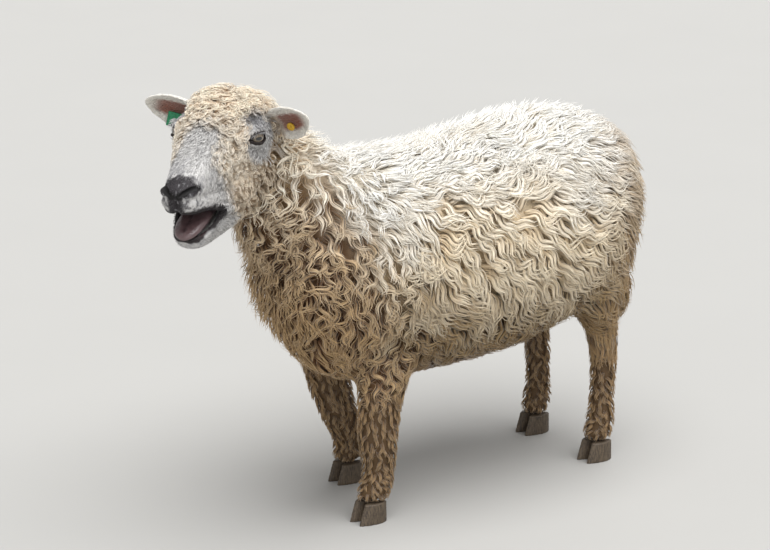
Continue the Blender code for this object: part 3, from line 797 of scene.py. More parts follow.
def coat_colours(points):
    """Colour of the coat's tips and of its roots at places on the skin."""
    patch, fleck, speck = PATCH(points), FLECK(points), SPECK(points)
    lateral, forward, up = in_head(points)
    head, face, orbit, top = head_weights(points)
    edge = ramp(wool_inside(points), 0.045, 0.005) * ramp(up, -0.075, -0.045)
    curls = blend_in(blend_in(CHEEK_WOOL, TOP_WOOL, top), EDGE_CURLS, 0.8 * edge)
    brow = bump_at(forward, -0.014, 0.020) * bump_at(up, 0.020, 0.010)
    brow = brow * ramp(np.abs(lateral), 0.040, 0.050)
    grey = orbit * ramp(fleck + 0.8 * patch, -1.2, 0.9) * (0.22 + 0.70 * ramp(up, -0.020, 0.004))
    bridge = ramp(forward, 0.060, 0.125) * ramp(fleck + patch, -0.8, 1.4)
    hair = blend_in(FACE_WHITE, FACE_GREY, np.clip(0.80 * grey + 0.45 * bridge, 0, 1))
    hair = blend_in(hair, BROW_GREY, 0.60 * brow)
    muzzle = ramp(forward, 0.100, 0.135) * ramp(up, -0.085, -0.070) * ramp(fleck + 0.6 * speck, -0.5, 1.0)
    hair = blend_in(hair, BROW_GREY, 0.55 * muzzle)
    # Roots of the face hair: darker, partly painted shade under the hair.
    under = blend_in(hair * 0.78, FACE_GREY * 0.8, 0.5 * np.maximum(grey, bridge))
    nose, lips = nose_weight(points)
    dark = np.maximum(nose * ramp(speck + 0.6 * fleck, 1.5, 0.8), lips)
    hair = blend_in(hair, NOSE_DARK, dark)
    under = blend_in(under, NOSE_DARK, np.maximum(nose, lips))
    ear, inner, _ = ear_weight(points)
    colours = blend_in(fleece_colours(points), curls, head)
    tip, root = blend_in(colours, np.stack([hair, under]), head * face)
    tip = blend_in(tip, EAR_WHITE, ear)
    # Roots of the ear hair a little darker: painted shade.
    root = blend_in(root, blend_in(EAR_WHITE * 0.90, EAR_PINK, inner), ear)
    return blend_in(tip, blend_in(EAR_WHITE, EAR_PINK, 0.75), ear * inner), root


def mouth_lines(forward):
    """Heights of the lower edge of the dark upper lip and the lower edge of the lower one."""
    upper = np.interp(forward, [0.062, 0.070, 0.080, 0.106, 0.135, 0.160],
                      [-0.102, -0.094, -0.0835, -0.0666, -0.0603, -0.0600])
    lower = np.interp(forward, [0.060, 0.070, 0.087, 0.105, 0.124, 0.144],
                      [-0.106, -0.103, -0.0985, -0.1055, -0.111, -0.121])
    return upper, lower


def nose_weight(points):
    """1 on the dark mottled nose, and 1 on the lips."""
    lateral, forward, up = in_head(points)
    fleck, speck = FLECK(points), SPECK(points)
    pad = ramp(forward + 0.002 * fleck, 0.130, 0.139) * ramp(up + 0.0015 * fleck, -0.0375, -0.0320)
    cleft = ramp(np.abs(lateral), 0.016, 0.009) * ramp(forward, 0.148, 0.157) * ramp(up, -0.068, -0.062)
    below = ramp(forward, 0.118, 0.142) * ramp(up, -0.066, -0.060) * ramp(speck + fleck, 0.0, 1.2)
    nose = np.maximum.reduce([pad, cleft, 0.55 * below])
    upper, lower = mouth_lines(forward)
    band = np.interp(forward, [0.085, 0.120], [0.0040, -0.0005])
    lips = ramp(up - upper + 0.0015 * fleck - band, 0.0000, -0.0035)
    lips = lips * ramp(up - lower + 0.0015 * fleck, -0.0028, 0.0010) * ramp(forward, 0.056, 0.068)
    return nose, lips


def nostril_gap(points):
    """Distance from the middle line of the nearer nostril."""
    lateral, forward, up = in_head(points)
    place = np.stack([np.abs(lateral), forward, up], -1)
    line, gap = np.array(NOSTRIL)[:, :3], np.ones(len(points))
    for start, end in zip(line, line[1:]):
        way = end - start
        part = np.clip((place - start) @ way / (way @ way), 0, 1)
        gap = np.minimum(gap, np.linalg.norm(place - start - part[:, None] * way, axis=1))
    return gap


def mouth_ring(points, wide, high):
    """1 on the outline of an ellipse that follows the mouth's opening, less inside."""
    lateral, forward, up = in_head(points)
    return np.hypot(lateral / wide, (up + 0.094 + 0.2 * (forward - 0.06)) / high)


def skin_colours(points):
    """The coat's colours, with painted shade on the skin between the locks, and the bare dark parts of
    the face, with painted shade in the nostrils and the mouth.
    """
    tip, colour = coat_colours(points)
    head, face, _, _ = head_weights(points)
    _, forward, _ = in_head(points)
    # Under the curls the skin takes the tips' colour, a little darker, and under the fleece it is
    # darkened where its colour is dark: painted shade between the locks.
    colour = blend_in(colour, tip * 0.85, 0.6 * head * (1 - face))
    light = np.minimum(colour.mean(1) / BACK_WOOL[1].mean(), 1)
    colour = colour * (1 - 0.35 * (1 - head) * (1 - light))[:, None]
    nose, lips = nose_weight(points)
    mottle = ramp(FLECK(points) + 0.7 * SPECK(points), 0.9, 1.9)
    # Inside the mouth: its dark lining, darkened further as painted shade.
    inside = ramp(mouth_ring(points, 0.030, 0.020), 1.0, 0.75)
    inside = inside * ramp(forward, 0.145, 0.120) * ramp(forward, 0.015, 0.030)
    for bare, weight in ((blend_in(NOSE_DARK, FACE_GREY, 0.4 * mottle), nose), (LIP_DARK, lips),
                         # painted shade inside the nostrils
                         (NOSTRIL_SHADE, ramp(nostril_gap(points), 0.0066, 0.0050)),
                         (MOUTH_LINING_AND_SHADE, inside)):
        colour = blend_in(colour, bare, weight)
    for toward, rise, out in (local.T for local in from_eyes(points)):
        near = ramp(out, 0.0, 0.006) * (np.abs(out) < 0.03)
        rim = ramp(np.hypot(toward / 1.75, rise) + 0.0006 * SPECK(points), 0.0130, 0.0106)
        tear = np.hypot(toward - 0.0235, (rise + 0.0055) / 1.3)
        rim = np.maximum(rim, 0.9 * ramp(tear, 0.0060, 0.0035))
        colour = blend_in(colour, RIM_DARK, near * rim)
    return colour


# ---- materials
def plug(tree, socket, value):
    """Give an input its value, or link it to another node's output."""
    if isinstance(value, bpy.types.NodeSocket):
        tree.links.new(value, socket)
    else:
        socket.default_value = value


def new_material(name, roughness, **settings):
    """A material and its shader; in the names of the settings an underscore is a space."""
    made = bpy.data.materials.new(name)
    made.use_nodes = True
    shader = made.node_tree.nodes["Principled BSDF"]
    shader.inputs["Roughness"].default_value = roughness
    for title, value in settings.items():
        shader.inputs[title.replace("_", " ")].default_value = value
    return made, made.node_tree, shader


def add_node(tree, kind, **settings):
    """A node; each setting is the value or link of an input, or a property."""
    node = tree.nodes.new(kind)
    for name, value in settings.items():
        if name in node.inputs:
            plug(tree, node.inputs[name], value)
        else:
            setattr(node, name, value)
    return node


def noise(tree, scale, detail=3.0):
    place = add_node(tree, "ShaderNodeTexCoord").outputs["Object"]
    return add_node(tree, "ShaderNodeTexNoise", Scale=scale, Detail=detail,
                    Vector=place).outputs["Fac"]


def spread(tree, source, low, high, to_low, to_high):
    """What runs from low to high in the source runs between other ends."""
    node = add_node(tree, "ShaderNodeMapRange", Value=source)
    for name, value in (("From Min", low), ("From Max", high), ("To Min", to_low), ("To Max", to_high)):
        node.inputs[name].default_value = value
    return node.outputs["Result"]


def add_bump(tree, shader, source, strength, distance):
    node = add_node(tree, "ShaderNodeBump", Strength=strength, Distance=distance, Height=source)
    tree.links.new(node.outputs["Normal"], shader.inputs["Normal"])


def stored(tree, name, output):
    return add_node(tree, "ShaderNodeAttribute", attribute_name=name).outputs[output]


def toned_colour(tree, shader, colour, tone):
    """The base colour, made lighter and darker by a tone."""
    shade = add_node(tree, "ShaderNodeVectorMath", operation="SCALE", Scale=tone)
    plug(tree, shade.inputs[0], colour)
    tree.links.new(shade.outputs["Vector"], shader.inputs["Base Color"])


def wool_material():
    """Wool and hair: the stored colours under fine streaks along each strand, darker in the streaks' low
    grooves, partly fibre colour and partly painted shade.
    """
    made, tree, shader = new_material("wool", 0.50, Sheen_Weight=0.25, Sheen_Roughness=0.5,
                                      Specular_IOR_Level=0.42)
    streaks = add_node(tree, "ShaderNodeTexNoise", Scale=1000.0, Detail=3.0,
                       Vector=stored(tree, "fibre", "Vector")).outputs["Fac"]
    # The tone follows the bump's height: painted shade in the grooves between fibres, as well as fibre
    # colour.
    tone = spread(tree, streaks, 0.32, 0.66, 0.74, 1.14)
    toned_colour(tree, shader, stored(tree, "markings_and_shade", "Color"), tone)
    add_bump(tree, shader, streaks, strength=0.60, distance=0.0006)
    return made


def marked_material(name, roughness, scale, low, high, bump, **settings):
    """Stored colours, and on skin and tongue their painted shade, under fine noise, which darkens and
    lightens them from low to high.
    """
    made, tree, shader = new_material(name, roughness, **settings)
    tone = spread(tree, noise(tree, scale), 0.3, 0.7, low, high)
    toned_colour(tree, shader, stored(tree, "markings_and_shade", "Color"), tone)
    add_bump(tree, shader, noise(tree, scale * 1.4, 5.0), strength=bump, distance=0.0010)
    return made


def skin_material():
    return marked_material("skin", roughness=0.62, scale=520.0, low=0.82, high=1.10, bump=0.55,
                           Specular_IOR_Level=0.35)


def eye_material():
    return marked_material("eye", roughness=0.05, scale=900.0, low=0.80, high=1.15, bump=0.02,
                           Coat_Weight=1.0, Coat_Roughness=0.03)


def tongue_material():
    return marked_material("tongue", roughness=0.30, scale=800.0, low=0.80, high=1.12, bump=0.45,
                           Coat_Weight=0.5, Coat_Roughness=0.18)


def mixed_colour(tree, shader, source, dark, light):
    """From one colour to another by a noise."""
    node = add_node(tree, "ShaderNodeMix", data_type="RGBA", A=(*dark, 1), B=(*light, 1),
                    Factor=spread(tree, source, 0.35, 0.65, 0.0, 1.0))
    tree.links.new(node.outputs["Result"], shader.inputs["Base Color"])


def horn_material():
    """Claws: dusty brown horn with upright grain."""
    made, tree, shader = new_material("horn", 0.58)
    grain = add_node(tree, "ShaderNodeMapping", Scale=(1.0, 1.0, 0.12),
                     Vector=add_node(tree, "ShaderNodeTexCoord").outputs["Object"])
    streak = add_node(tree, "ShaderNodeTexNoise", Scale=700.0, Detail=4.0,
                      Vector=grain.outputs["Vector"]).outputs["Fac"]
    mixed_colour(tree, shader, streak, linear(58, 48, 40), linear(104, 90, 72))
    add_bump(tree, shader, streak, strength=0.35, distance=0.0006)
    return made


def plastic_material(name, dark, light):
    """Weathered plastic of the ear tags."""
    made, tree, shader = new_material(name, 0.42)
    worn = noise(tree, 260.0, 5.0)
    mixed_colour(tree, shader, worn, dark, light)
    tree.links.new(spread(tree, worn, 0.3, 0.7, 0.34, 0.55), shader.inputs["Roughness"])
    add_bump(tree, shader, noise(tree, 1500.0), strength=0.25, distance=0.0003)
    return made


def store_colours(mesh, colours):
    # The stored colours: own markings together with painted shade.
    layer = mesh.attributes.new("markings_and_shade", "FLOAT_COLOR", "POINT")
    full = np.ones((len(colours), 4))
    full[:, :3] = np.clip(colours, 0, 1)
    fill(layer.data, "color", full)


# ---- the skin's map
PATCH_SIZE = 0.003               # of one strand's patch on the map
MAP_TRIANGLES = 5000


class SkinMap:
    """An unwrap of a thinned copy of the skin, read at places on the skin."""

    def __init__(self, skin):
        copy = new_object("skin_map", skin.data.copy())
        add_step(copy, "DECIMATE", ratio=MAP_TRIANGLES / len(copy.data.polygons))
        apply_all(copy)
        bpy.context.view_layer.objects.active = copy
        copy.select_set(True)
        bpy.ops.object.mode_set(mode="EDIT")
        bpy.ops.mesh.select_all(action="SELECT")
        bpy.ops.uv.smart_project(angle_limit=math.radians(66), island_margin=0.006)
        bpy.ops.object.mode_set(mode="OBJECT")
        mesh = copy.data
        layer = mesh.uv_layers.active.data
        self.corners = [[mesh.vertices[v].co.copy() for v in face.vertices] for face in mesh.polygons]
        self.places = [[layer[i].uv.to_3d() for i in face.loop_indices] for face in mesh.polygons]
        self.tree = tree_of(mesh)
        bpy.data.objects.remove(copy, do_unlink=True)

    def __call__(self, points):
        found = np.empty((len(points), 2))
        for i, point in enumerate(points):
            spot, _, face, _ = self.tree.find_nearest(Vector(point))
            place = barycentric_transform(spot, *self.corners[face][:3], *self.places[face][:3])
            found[i] = place.x, place.y
        return np.clip(found, PATCH_SIZE, 1 - PATCH_SIZE)


# ---- places to grow
TRIAL_PLACES = 150_000


def hair_density(points):
    """How many more trial places the fine hair of the head needs than the fleece."""
    head, face, _, _ = head_weights(points)
    return 1 + 6 * head + 16 * head * face


def scatter(skin):
    """Random places on the skin, as close together as the density of their place asks."""
    draws = np.random.default_rng(8)
    corners = np.empty(len(skin.data.polygons) * 3, np.int32)
    skin.data.polygons.foreach_get("vertices", corners)
    a, b, c = points_of(skin.data)[corners.reshape(-1, 3).T]
    weight = np.linalg.norm(np.cross(b - a, c - a), axis=1) * hair_density((a + b + c) / 3)
    pick = draws.choice(len(a), TRIAL_PLACES, p=weight / weight.sum())
    u, v = draws.uniform(size=(2, TRIAL_PLACES, 1))
    flip = (u + v) > 1
    u, v = np.where(flip, 1 - u, u), np.where(flip, 1 - v, v)
    return a[pick] + u * (b - a)[pick] + v * (c - a)[pick]


def spaced(points, gaps):
    """Indexes of points that keep a distance from each other, which may vary."""
    keys = map(tuple, np.floor(points / float(gaps.max())).astype(int))
    around = [(i, j, k) for i in (-1, 0, 1) for j in (-1, 0, 1) for k in (-1, 0, 1)]
    spots, grid, kept = [tuple(point) for point in points], {}, []
    for i, ((kx, ky, kz), (x, y, z), gap) in enumerate(zip(keys, spots, gaps)):
        near = (spots[other] for di, dj, dk in around
                for other in grid.get((kx + di, ky + dj, kz + dk), ()))
        if all((px - x) ** 2 + (py - y) ** 2 + (pz - z) ** 2 >= gap * gap for px, py, pz in near):
            grid.setdefault((kx, ky, kz), []).append(i)
            kept.append(i)
    return np.array(kept, int)


# ---- lie of the coat
def unit(vectors):
    return vectors / np.maximum(np.linalg.norm(vectors, axis=-1, keepdims=True), 1e-9)


DRIFT = [Swirl(0.13, seed) for seed in (21, 22, 23)]
DOWN, BACK = np.array([0.0, 0.0, -1.0]), np.array([0.0, 1.0, 0.0])
TO_NOSE = np.array(HEAD_AXES @ Vector((0, -1, 0)))
HEAD_DOWN = np.array(HEAD_AXES @ Vector((0, 0, -1)))
HEAD_SIDE = np.array(HEAD_AXES @ Vector((1, 0, 0)))


def body_flow(points):
    """Back along the spine, down and back over the flanks, down on chest, rump and legs."""
    _, y, z = points.T
    back = np.interp(z, [0.25, 0.36, 0.46, 0.58], [0.22, 0.50, 0.80, 1.10])
    back = back * np.interp(y, [-0.26, -0.14, 0.02, 0.30, 0.40, 0.46],
                            [0.10, 0.35, 0.85, 1.0, 0.45, 0.05])
    down = np.interp(z, [0.40, 0.62], [1.0, 0.55])
    flow = DOWN * down[:, None] + BACK * back[:, None]
    neck = ramp(y, -0.12, -0.22) * ramp(z, 0.50, 0.60)
    flow = blend_in(flow, np.array([0.0, 0.62, -0.80]), neck)
    wander = np.stack([noise_at(points) for noise_at in DRIFT], -1)
    amount = np.interp(z, [0.20, 0.30, 0.55], [0.10, 0.34, 0.42])
    return flow + wander * amount[:, None]


def head_flow(points):
    """Towards the nose on the face, down and back over cheeks and throat."""
    lateral, _, up = in_head(points)
    _, is_face, _, is_top = head_weights(points)
    side = np.sign(lateral)[:, None] * HEAD_SIDE
    outward = np.clip(np.abs(lateral) / 0.05, 0, 1)[:, None]
    face = TO_NOSE + 0.55 * HEAD_DOWN * outward + 0.25 * side * outward
    top = TO_NOSE * 0.8 + side * 0.5 + HEAD_DOWN * 0.2
    flow = blend_in(blend_in(HEAD_DOWN - TO_NOSE * 0.35, top, is_top), face, is_face)
    return blend_in(flow, -0.75 * TO_NOSE + 0.6 * HEAD_DOWN, ramp(up, -0.095, -0.115))


def ear_flow(points):
    """From the root of each ear to its tip."""
    lateral, _, _ = in_head(points)
    ways = {side: np.array(HEAD_AXES @ ear_axes(side)[1]) for side in SIDES.values()}
    return np.where(lateral[:, None] > 0, ways[1], ways[-1])


STEADINESS = 0.7                 # share of the last way out that the next one keeps


class Strands:
    """Centre lines on the skin, each with the way out of the skin and the room above it."""

    def __init__(self, skin, outer):
        self.skin, self.outer = skin, outer

    def land(self, places):
        """Nearest places on the skin, the way out there, and the room under the outer form."""
        found, out = np.empty_like(places), np.empty_like(places)
        room = np.empty(len(places))
        for i, place in enumerate(places):
            spot, normal, _, _ = self.skin.find_nearest(Vector(place))
            found[i], out[i] = spot, normal
            room[i] = self.outer.find_nearest(spot)[3]
        return found, out, room

    def trace(self, roots, flow, headings, step):
        """Walk from the roots; headings turn each step away from the lie of the coat."""
        mirror = np.where(roots[:, :1] < 0, -1.0, 1.0)
        step = np.reshape(step, (-1, 1))
        path, out, room = [], [], []
        here = roots
        for turn in [*headings.T, None]:
            found, normal, space = self.land(here)
            if out:
                normal = unit(normal + STEADINESS * out[-1])
            path.append(found)
            out.append(normal)
            room.append(space)
            if turn is None:
                break
            lie = flow(found)
            lie = unit(lie - normal * (lie * normal).sum(-1, keepdims=True))
            aside = np.cross(normal, lie) * mirror
            here = found + (lie * np.cos(turn)[:, None] + aside * np.sin(turn)[:, None]) * step
        path, out, room = (np.stack(rows, 1) for rows in (path, out, room))
        path[:, 1:-1] = (path[:, :-2] + 2 * path[:, 1:-1] + path[:, 2:]) / 4
        out[:, 1:-1] = unit(out[:, :-2] + out[:, 1:-1] * 2 + out[:, 2:])
        return path, out, room


def bundle(path, out, room, rise, offsets, gather, loft):
    """Strands beside each centre line, drawn together towards the tip."""
    along = np.linspace(0, 1, path.shape[1])
    ahead = unit(np.gradient(path, axis=1))
    aside = unit(np.cross(out, ahead))
    close = 1 - gather * along ** 1.4
    lines = []
    for aside_by, back_by, higher, _ in offsets:
        spread_by = (aside_by[:, None] * close)[..., None]
        slide = (back_by[:, None] * (1 - along))[..., None]
        height = np.minimum(room, loft[:, None]) * rise[None, :] * higher[:, None]
        height = height - ROOT_SUNK * (along == 0)
        lines.append(path + aside * spread_by + ahead * slide + out * height[..., None])
    return np.stack(lines, 1), np.repeat(out[:, None], len(offsets), 1)


# ---- strands to meshes
STRAND_LOW, STRAND_HIGH = 0.0005, 0.0012   # most that a strand reaches below and above its line
ROOT_SUNK = 0.001                # of a strand's root, in the skin
STREAK_STRETCH = 0.06            # place along a strand, as its streaks are drawn out
STREAK_SHIFT = 0.0137            # from one strand's streaks to the next one's
MOST_TRIANGLES = 196_000         # of one coat piece


def strand_mesh(name, lines, out, widths, colours, places):
    """Closed tapering strands of three sides. Colours are per point, map places per strand."""
    count, points = lines.shape[:2]
    ahead = unit(np.gradient(lines, axis=1))
    aside = unit(np.cross(out, ahead))
    above = np.cross(ahead, aside)
    half = widths[..., None] / 2
    low, high = np.minimum(half * 0.35, STRAND_LOW), np.minimum(half * 0.80, STRAND_HIGH)
    ring = np.stack([lines - aside * half - above * low, lines + aside * half - above * low,
                     lines + above * high], 2)
    base = (np.arange(count) * points * 3)[:, None, None]
    level = (np.arange(points - 1) * 3)[None, :, None]
    corner = np.arange(3)[None, None, :]
    low, nxt = base + level + corner, base + level + (corner + 1) % 3
    quads = np.stack([low, nxt, nxt + 3, low + 3], -1).reshape(-1, 4)
    start = base[:, 0, :] + np.array([2, 1, 0])
    end = base[:, 0, :] + (points - 1) * 3 + np.array([0, 1, 2])
    caps = np.stack([start, end], 1).reshape(-1, 3)
    mesh = bpy.data.meshes.new(name)
    mesh.vertices.add(count * points * 3)
    fill(mesh.vertices, "co", ring)
    mesh.loops.add(quads.size + caps.size)
    fill(mesh.loops, "vertex_index", np.concatenate([quads.ravel(), caps.ravel()]), np.int32)
    mesh.polygons.add(len(quads) + len(caps))
    starts = np.concatenate([np.arange(len(quads)) * 4, quads.size + np.arange(len(caps)) * 3])
    fill(mesh.polygons, "loop_start", starts, np.int32)
    mesh.update(calc_edges=True)
    store_colours(mesh, np.repeat(colours.reshape(-1, 3), 3, 0))
    store_fibres(mesh, lines, widths)
    map_strands(mesh, count, points, places)
    mesh.shade_smooth()
    return mesh


def store_fibres(mesh, lines, widths):
    """Place across each strand, place along it drawn out into streaks, and its own number."""
    count = len(widths)
    across = widths[..., None] * np.array([-0.5, 0.5, 0.0])
    step = np.linalg.norm(np.diff(lines, axis=1), axis=-1)
    along = np.concatenate([np.zeros((count, 1)), np.cumsum(step, axis=1)], 1) * STREAK_STRETCH
    own = np.arange(count) * STREAK_SHIFT
    values = np.stack([across, np.repeat(along[..., None], 3, 2),
                       np.broadcast_to(own[:, None, None], across.shape)], -1)
    fill(mesh.attributes.new("fibre", "FLOAT_VECTOR", "POINT").data, "vector", values)


def map_strands(mesh, count, points, places):
    """Each strand is one small patch at its root's place on the unwrapped skin."""
    across = np.array([[0, 1, 1, 0], [1, 2, 2, 1], [2, 3, 3, 2]]) / 3 - 0.5
    along = np.arange(points - 1)[:, None, None] + np.array([0, 0, 1, 1])
    along = np.broadcast_to(along / (points - 1) - 0.5, (points - 1, 3, 4))
    shape = np.stack([np.broadcast_to(across, along.shape), along], -1).reshape(1, -1, 2)
    quads = places[:, None] + shape * PATCH_SIZE
    triangle = np.array([[-0.5, 0.0], [0.0, 0.0], [0.5, 0.0]])
    ends = [places[:, None] + (triangle + (0, level)) * PATCH_SIZE for level in (-0.5, 0.5)]
    caps = np.stack(ends, 1).reshape(count, -1, 2)
    flat = np.concatenate([quads.reshape(-1, 2), caps.reshape(-1, 2)])
    fill(mesh.uv_layers.new(name="OFBake").data, "uv", flat)


def coat_pieces(name, style, material, skin_map, slot):
    """Split a style's strands, front to back, into pieces that stay small enough."""
    lines, out, widths, colours = style
    most = MOST_TRIANGLES // (6 * (lines.shape[1] - 1) + 2)
    order = np.argsort(lines[:, 0, 1] + 0.15 * lines[:, 0, 2], kind="stable")
    places = skin_map(lines[:, 0])
    parts = math.ceil(len(order) / most)
    for number, chosen in enumerate(np.array_split(order, parts), 1):
        title = name if parts == 1 else f"{name}_{number}"
        mesh = strand_mesh(title, lines[chosen], out[chosen], widths[chosen],
                           colours[chosen], places[chosen])
        mesh.materials.append(material)
        piece = new_object(title, mesh)
        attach(piece, "root")


def taper(points, width, draws, count, fine):
    """Widths from root to tip; the tip keeps the fine share of the strand's width."""
    along = np.linspace(0, 1, points)
    shape = (0.70 + 0.30 * np.sin(math.pi * along)) * (1 - ramp(along, 0.55, 1.0) * (1 - fine))
    return width * shape[None] * draws.uniform(0.75, 1.25, (count, 1))


# ---- the styles
WAVE_TWIST = Swirl(0.11, 41)
WAVE_SIZE = Swirl(0.15, 42)
RIBBON = 4.6                     # width of a lock's broad strands, against its fine ones


def rising(low, power):
    """Height along a lock, from low at its root to full at its tip."""
    return lambda along: low + (1 - low) * along ** power


def arching(low, turn):
    """Height along a curl that stands up and falls over."""
    return lambda along: low + 0.88 * np.sin(along * math.pi * turn) ** 0.8


def quarter_arch(height):
    """Height along a hair that lies down towards its tip."""
    return lambda along: height * np.sin(along * math.pi * 0.5)


class Locks:
    """The locks of one style: where they root, how they run, and the style's own draws."""

    def __init__(self, strands, spots, seed):
        self.strands, self.spots, self.count = strands, spots, len(spots)
        self.draws = np.random.default_rng(seed)

    def vary(self, low, high):
        """One draw for each lock."""
        return self.draws.uniform(low, high, self.count)

    def column(self, low, high):
        """One draw for each lock, the same all along it."""
        return self.draws.uniform(low, high, (self.count, 1))

    def stray(self, amount):
        return self.draws.normal(0, amount, (self.count, 1))

    def left_or_right(self):
        return self.draws.choice([-1.0, 1.0], (self.count, 1))

    def measure(self, length, low, high, segments=2):
        """Set each lock's length, and the way from its root to the start of each segment."""
        self.length = length * self.vary(low, high)
        self.way = np.arange(segments) / segments * self.length[:, None]

    def waves(self, wave, swing, out_of_step, stray, bend):
        """Headings of waves that keep step with their neighbours."""
        _, y, z = self.spots.T
        start = (0.78 * y - 0.62 * z) / wave + 0.45 * WAVE_TWIST(self.spots)
        start = start + self.draws.normal(0, 1, self.count) * out_of_step
        turn = np.cos(math.tau * (start[:, None] + self.way / np.reshape(wave, (-1, 1))))
        return swing[:, None] * turn + self.stray(stray) + self.stray(bend) * self.way

    def hooks(self, turn):
        """Headings that turn ever more towards the tips."""
        return turn * (self.way / self.length[:, None]) ** 3

    def curls(self, low, high, stray, back):
        """Headings that turn one way, left or right, all along."""
        total = self.left_or_right() * self.column(low, high)
        return self.stray(stray) - back * total + total * self.way / self.length[:, None]

    def side_by_side(self, strands, reach, slide, low, high, broad=0, ribbon=RIBBON):
        """Each strand's place beside the centre line, how far back it starts, height and width.

        The broad ones lie under the fine ones and close the lock."""
        reach = np.full(self.count, reach)
        under = [((2 * part + 1 - broad) * reach * 0.55, self.vary(-slide, slide) * 0.5,
                  self.vary(low - 0.10, low + 0.06), ribbon) for part in range(broad)]
        return under + [(part * reach + self.draws.normal(0, 0.16, self.count) * reach,
                         self.vary(-slide, slide), self.vary(low, high), 1.0)
                        for part in np.linspace(-1, 1, strands)]

    def alone(self):
        """One strand, on the centre line."""
        return [(np.zeros(self.count), np.zeros(self.count), np.ones(self.count), 1.0)]

    def grow(self, flow, headings, rise, beside, gather, loft, width, fine=0.12):
        """Centre lines, ways out, widths and colours of all strands of the locks.

        Loft is the most that a lock stands off the skin, and fine the tip's share of a
        strand's width."""
        points, each = headings.shape[1] + 1, len(beside)
        path, out, room = self.strands.trace(self.spots, flow, headings, self.length / (points - 1))
        loft, width = (np.broadcast_to(size, self.count) for size in (loft, width))
        lines, normals = bundle(path, out, room, rise(np.linspace(0, 1, points)), beside, gather, loft)
        lock = np.repeat(self.vary(0.92, 1.05), each)
        colours = self.colours(points, each, lock)
        factors = np.array([wide for _, _, _, wide in beside])
        width = (width[:, None] * factors).reshape(-1, 1)
        widths = taper(points, width, self.draws, self.count * each, fine)
        return lines.reshape(-1, points, 3), normals.reshape(-1, points, 3), widths, colours

    def colours(self, points, each, lock):
        """From the root's colour, darker partly as painted shade deep in the fleece, to the tip's, with
        each lock and strand a little its own.
        """
        tip, root = (np.repeat(colour, each, 0)[:, None] for colour in coat_colours(self.spots))
        along = ramp(np.linspace(0, 1, points), 0.05, 0.75)
        shade = lock * self.draws.uniform(0.94, 1.05, len(lock))
        return (root + (tip - root) * along[None, :, None]) * shade[:, None, None]


def back_wool(locks):
    """Soft, nearly straight wool along the back."""
    locks.measure(0.044, 0.75, 1.15, segments=7)
    swing = 0.42 + 0.15 * WAVE_SIZE(locks.spots)
    headings = locks.waves(0.046, swing, out_of_step=0.12, stray=0.16, bend=7)
    beside = locks.side_by_side(5, reach=0.0082, slide=0.013, low=0.74, high=1.16, broad=2)
    return locks.grow(body_flow, headings, rising(0.10, 0.75), beside,
                      gather=0.28, loft=0.050, width=0.0018)


def flank_wool(locks):
    """Long locks in broad waves that hang back and down over the flanks and thighs."""
    rear = rear_weight(locks.spots)
    locks.measure(0.060 + 0.004 * rear, 0.82, 1.14, segments=11)
    swing = 0.66 + 0.22 * WAVE_SIZE(locks.spots) - 0.36 * rear
    headings = locks.waves(0.041 + 0.012 * rear, swing, out_of_step=0.24, stray=0.18, bend=7)
    headings = headings + locks.hooks(locks.column(-0.4, 2.2))
    beside = locks.side_by_side(3, reach=0.0088, slide=0.013, low=0.78, high=1.12, broad=2)
    return locks.grow(body_flow, headings, rising(0.10, 0.75), beside,
                      gather=0.30, loft=0.060, width=0.0018)


def neck_wool(locks):
    """Curlier locks on neck and chest, hooked at their tips."""
    _, y, z = locks.spots.T
    locks.measure(0.046, 0.75, 1.2, segments=10)
    swing = 0.85 + 0.25 * WAVE_SIZE(locks.spots)
    headings = locks.waves(0.038, swing, out_of_step=0.22, stray=0.22, bend=16)
    headings = headings + locks.hooks(locks.left_or_right() * locks.column(0.3, 1.6))
    puff = 1 + 0.30 * ramp(y, -0.14, -0.22) * ramp(z, 0.32, 0.38)
    beside = locks.side_by_side(3, reach=0.0056, slide=0.009, low=0.78, high=1.14, broad=1)
    beside = [(aside, back, high * puff, wide) for aside, back, high, wide in beside]
    return locks.grow(body_flow, headings, rising(0.12, 0.7), beside,
                      gather=0.50, loft=0.060, width=0.0014)


def topknot(locks):
    """Ringlets that stand up between the ears and fall over the forehead."""
    inside, eye = wool_inside(locks.spots), near_eye(locks.spots)
    length = np.interp(inside, [0.0, 0.02, 0.05], [0.014, 0.024, 0.034]) * (1 - 0.5 * eye)
    locks.measure(length, 0.75, 1.25, segments=9)
    headings = locks.curls(3.2, 5.6, stray=0.8, back=0.35)
    beside = locks.side_by_side(4, reach=0.0030, slide=0.004, low=0.68, high=1.20)
    loft = np.interp(inside, [0.0, 0.03], [0.008, 0.022]) * (1 - 0.4 * eye)
    loft = loft * locks.draws.choice([0.85, 1.0, 1.5], locks.count)
    return locks.grow(head_flow, headings, arching(0.15, 0.60), beside,
                      gather=0.30, loft=loft, width=0.0013, fine=0.25)


def cheek_wool(locks):
    """Short curls on cheeks and throat, smallest where they end on the face."""
    inside, eye = wool_inside(locks.spots), near_eye(locks.spots)
    length = np.interp(inside, [0.0, 0.03, 0.08], [0.010, 0.017, 0.026]) * (1 - 0.45 * eye)
    locks.measure(length, 0.75, 1.25, segments=7)
    headings = locks.curls(1.6, 4.2, stray=0.5, back=0.4)
    beside = locks.side_by_side(3, reach=0.0019, slide=0.0025, low=0.75, high=1.15)
    loft = np.interp(inside, [0.0, 0.04, 0.09], [0.0060, 0.013, 0.022]) * (1 - 0.4 * eye)
    width = np.interp(inside, [0.0, 0.05], [0.00105, 0.0015])
    return locks.grow(head_flow, headings, arching(0.12, 0.62), beside,
                      gather=0.40, loft=loft, width=width, fine=0.2)


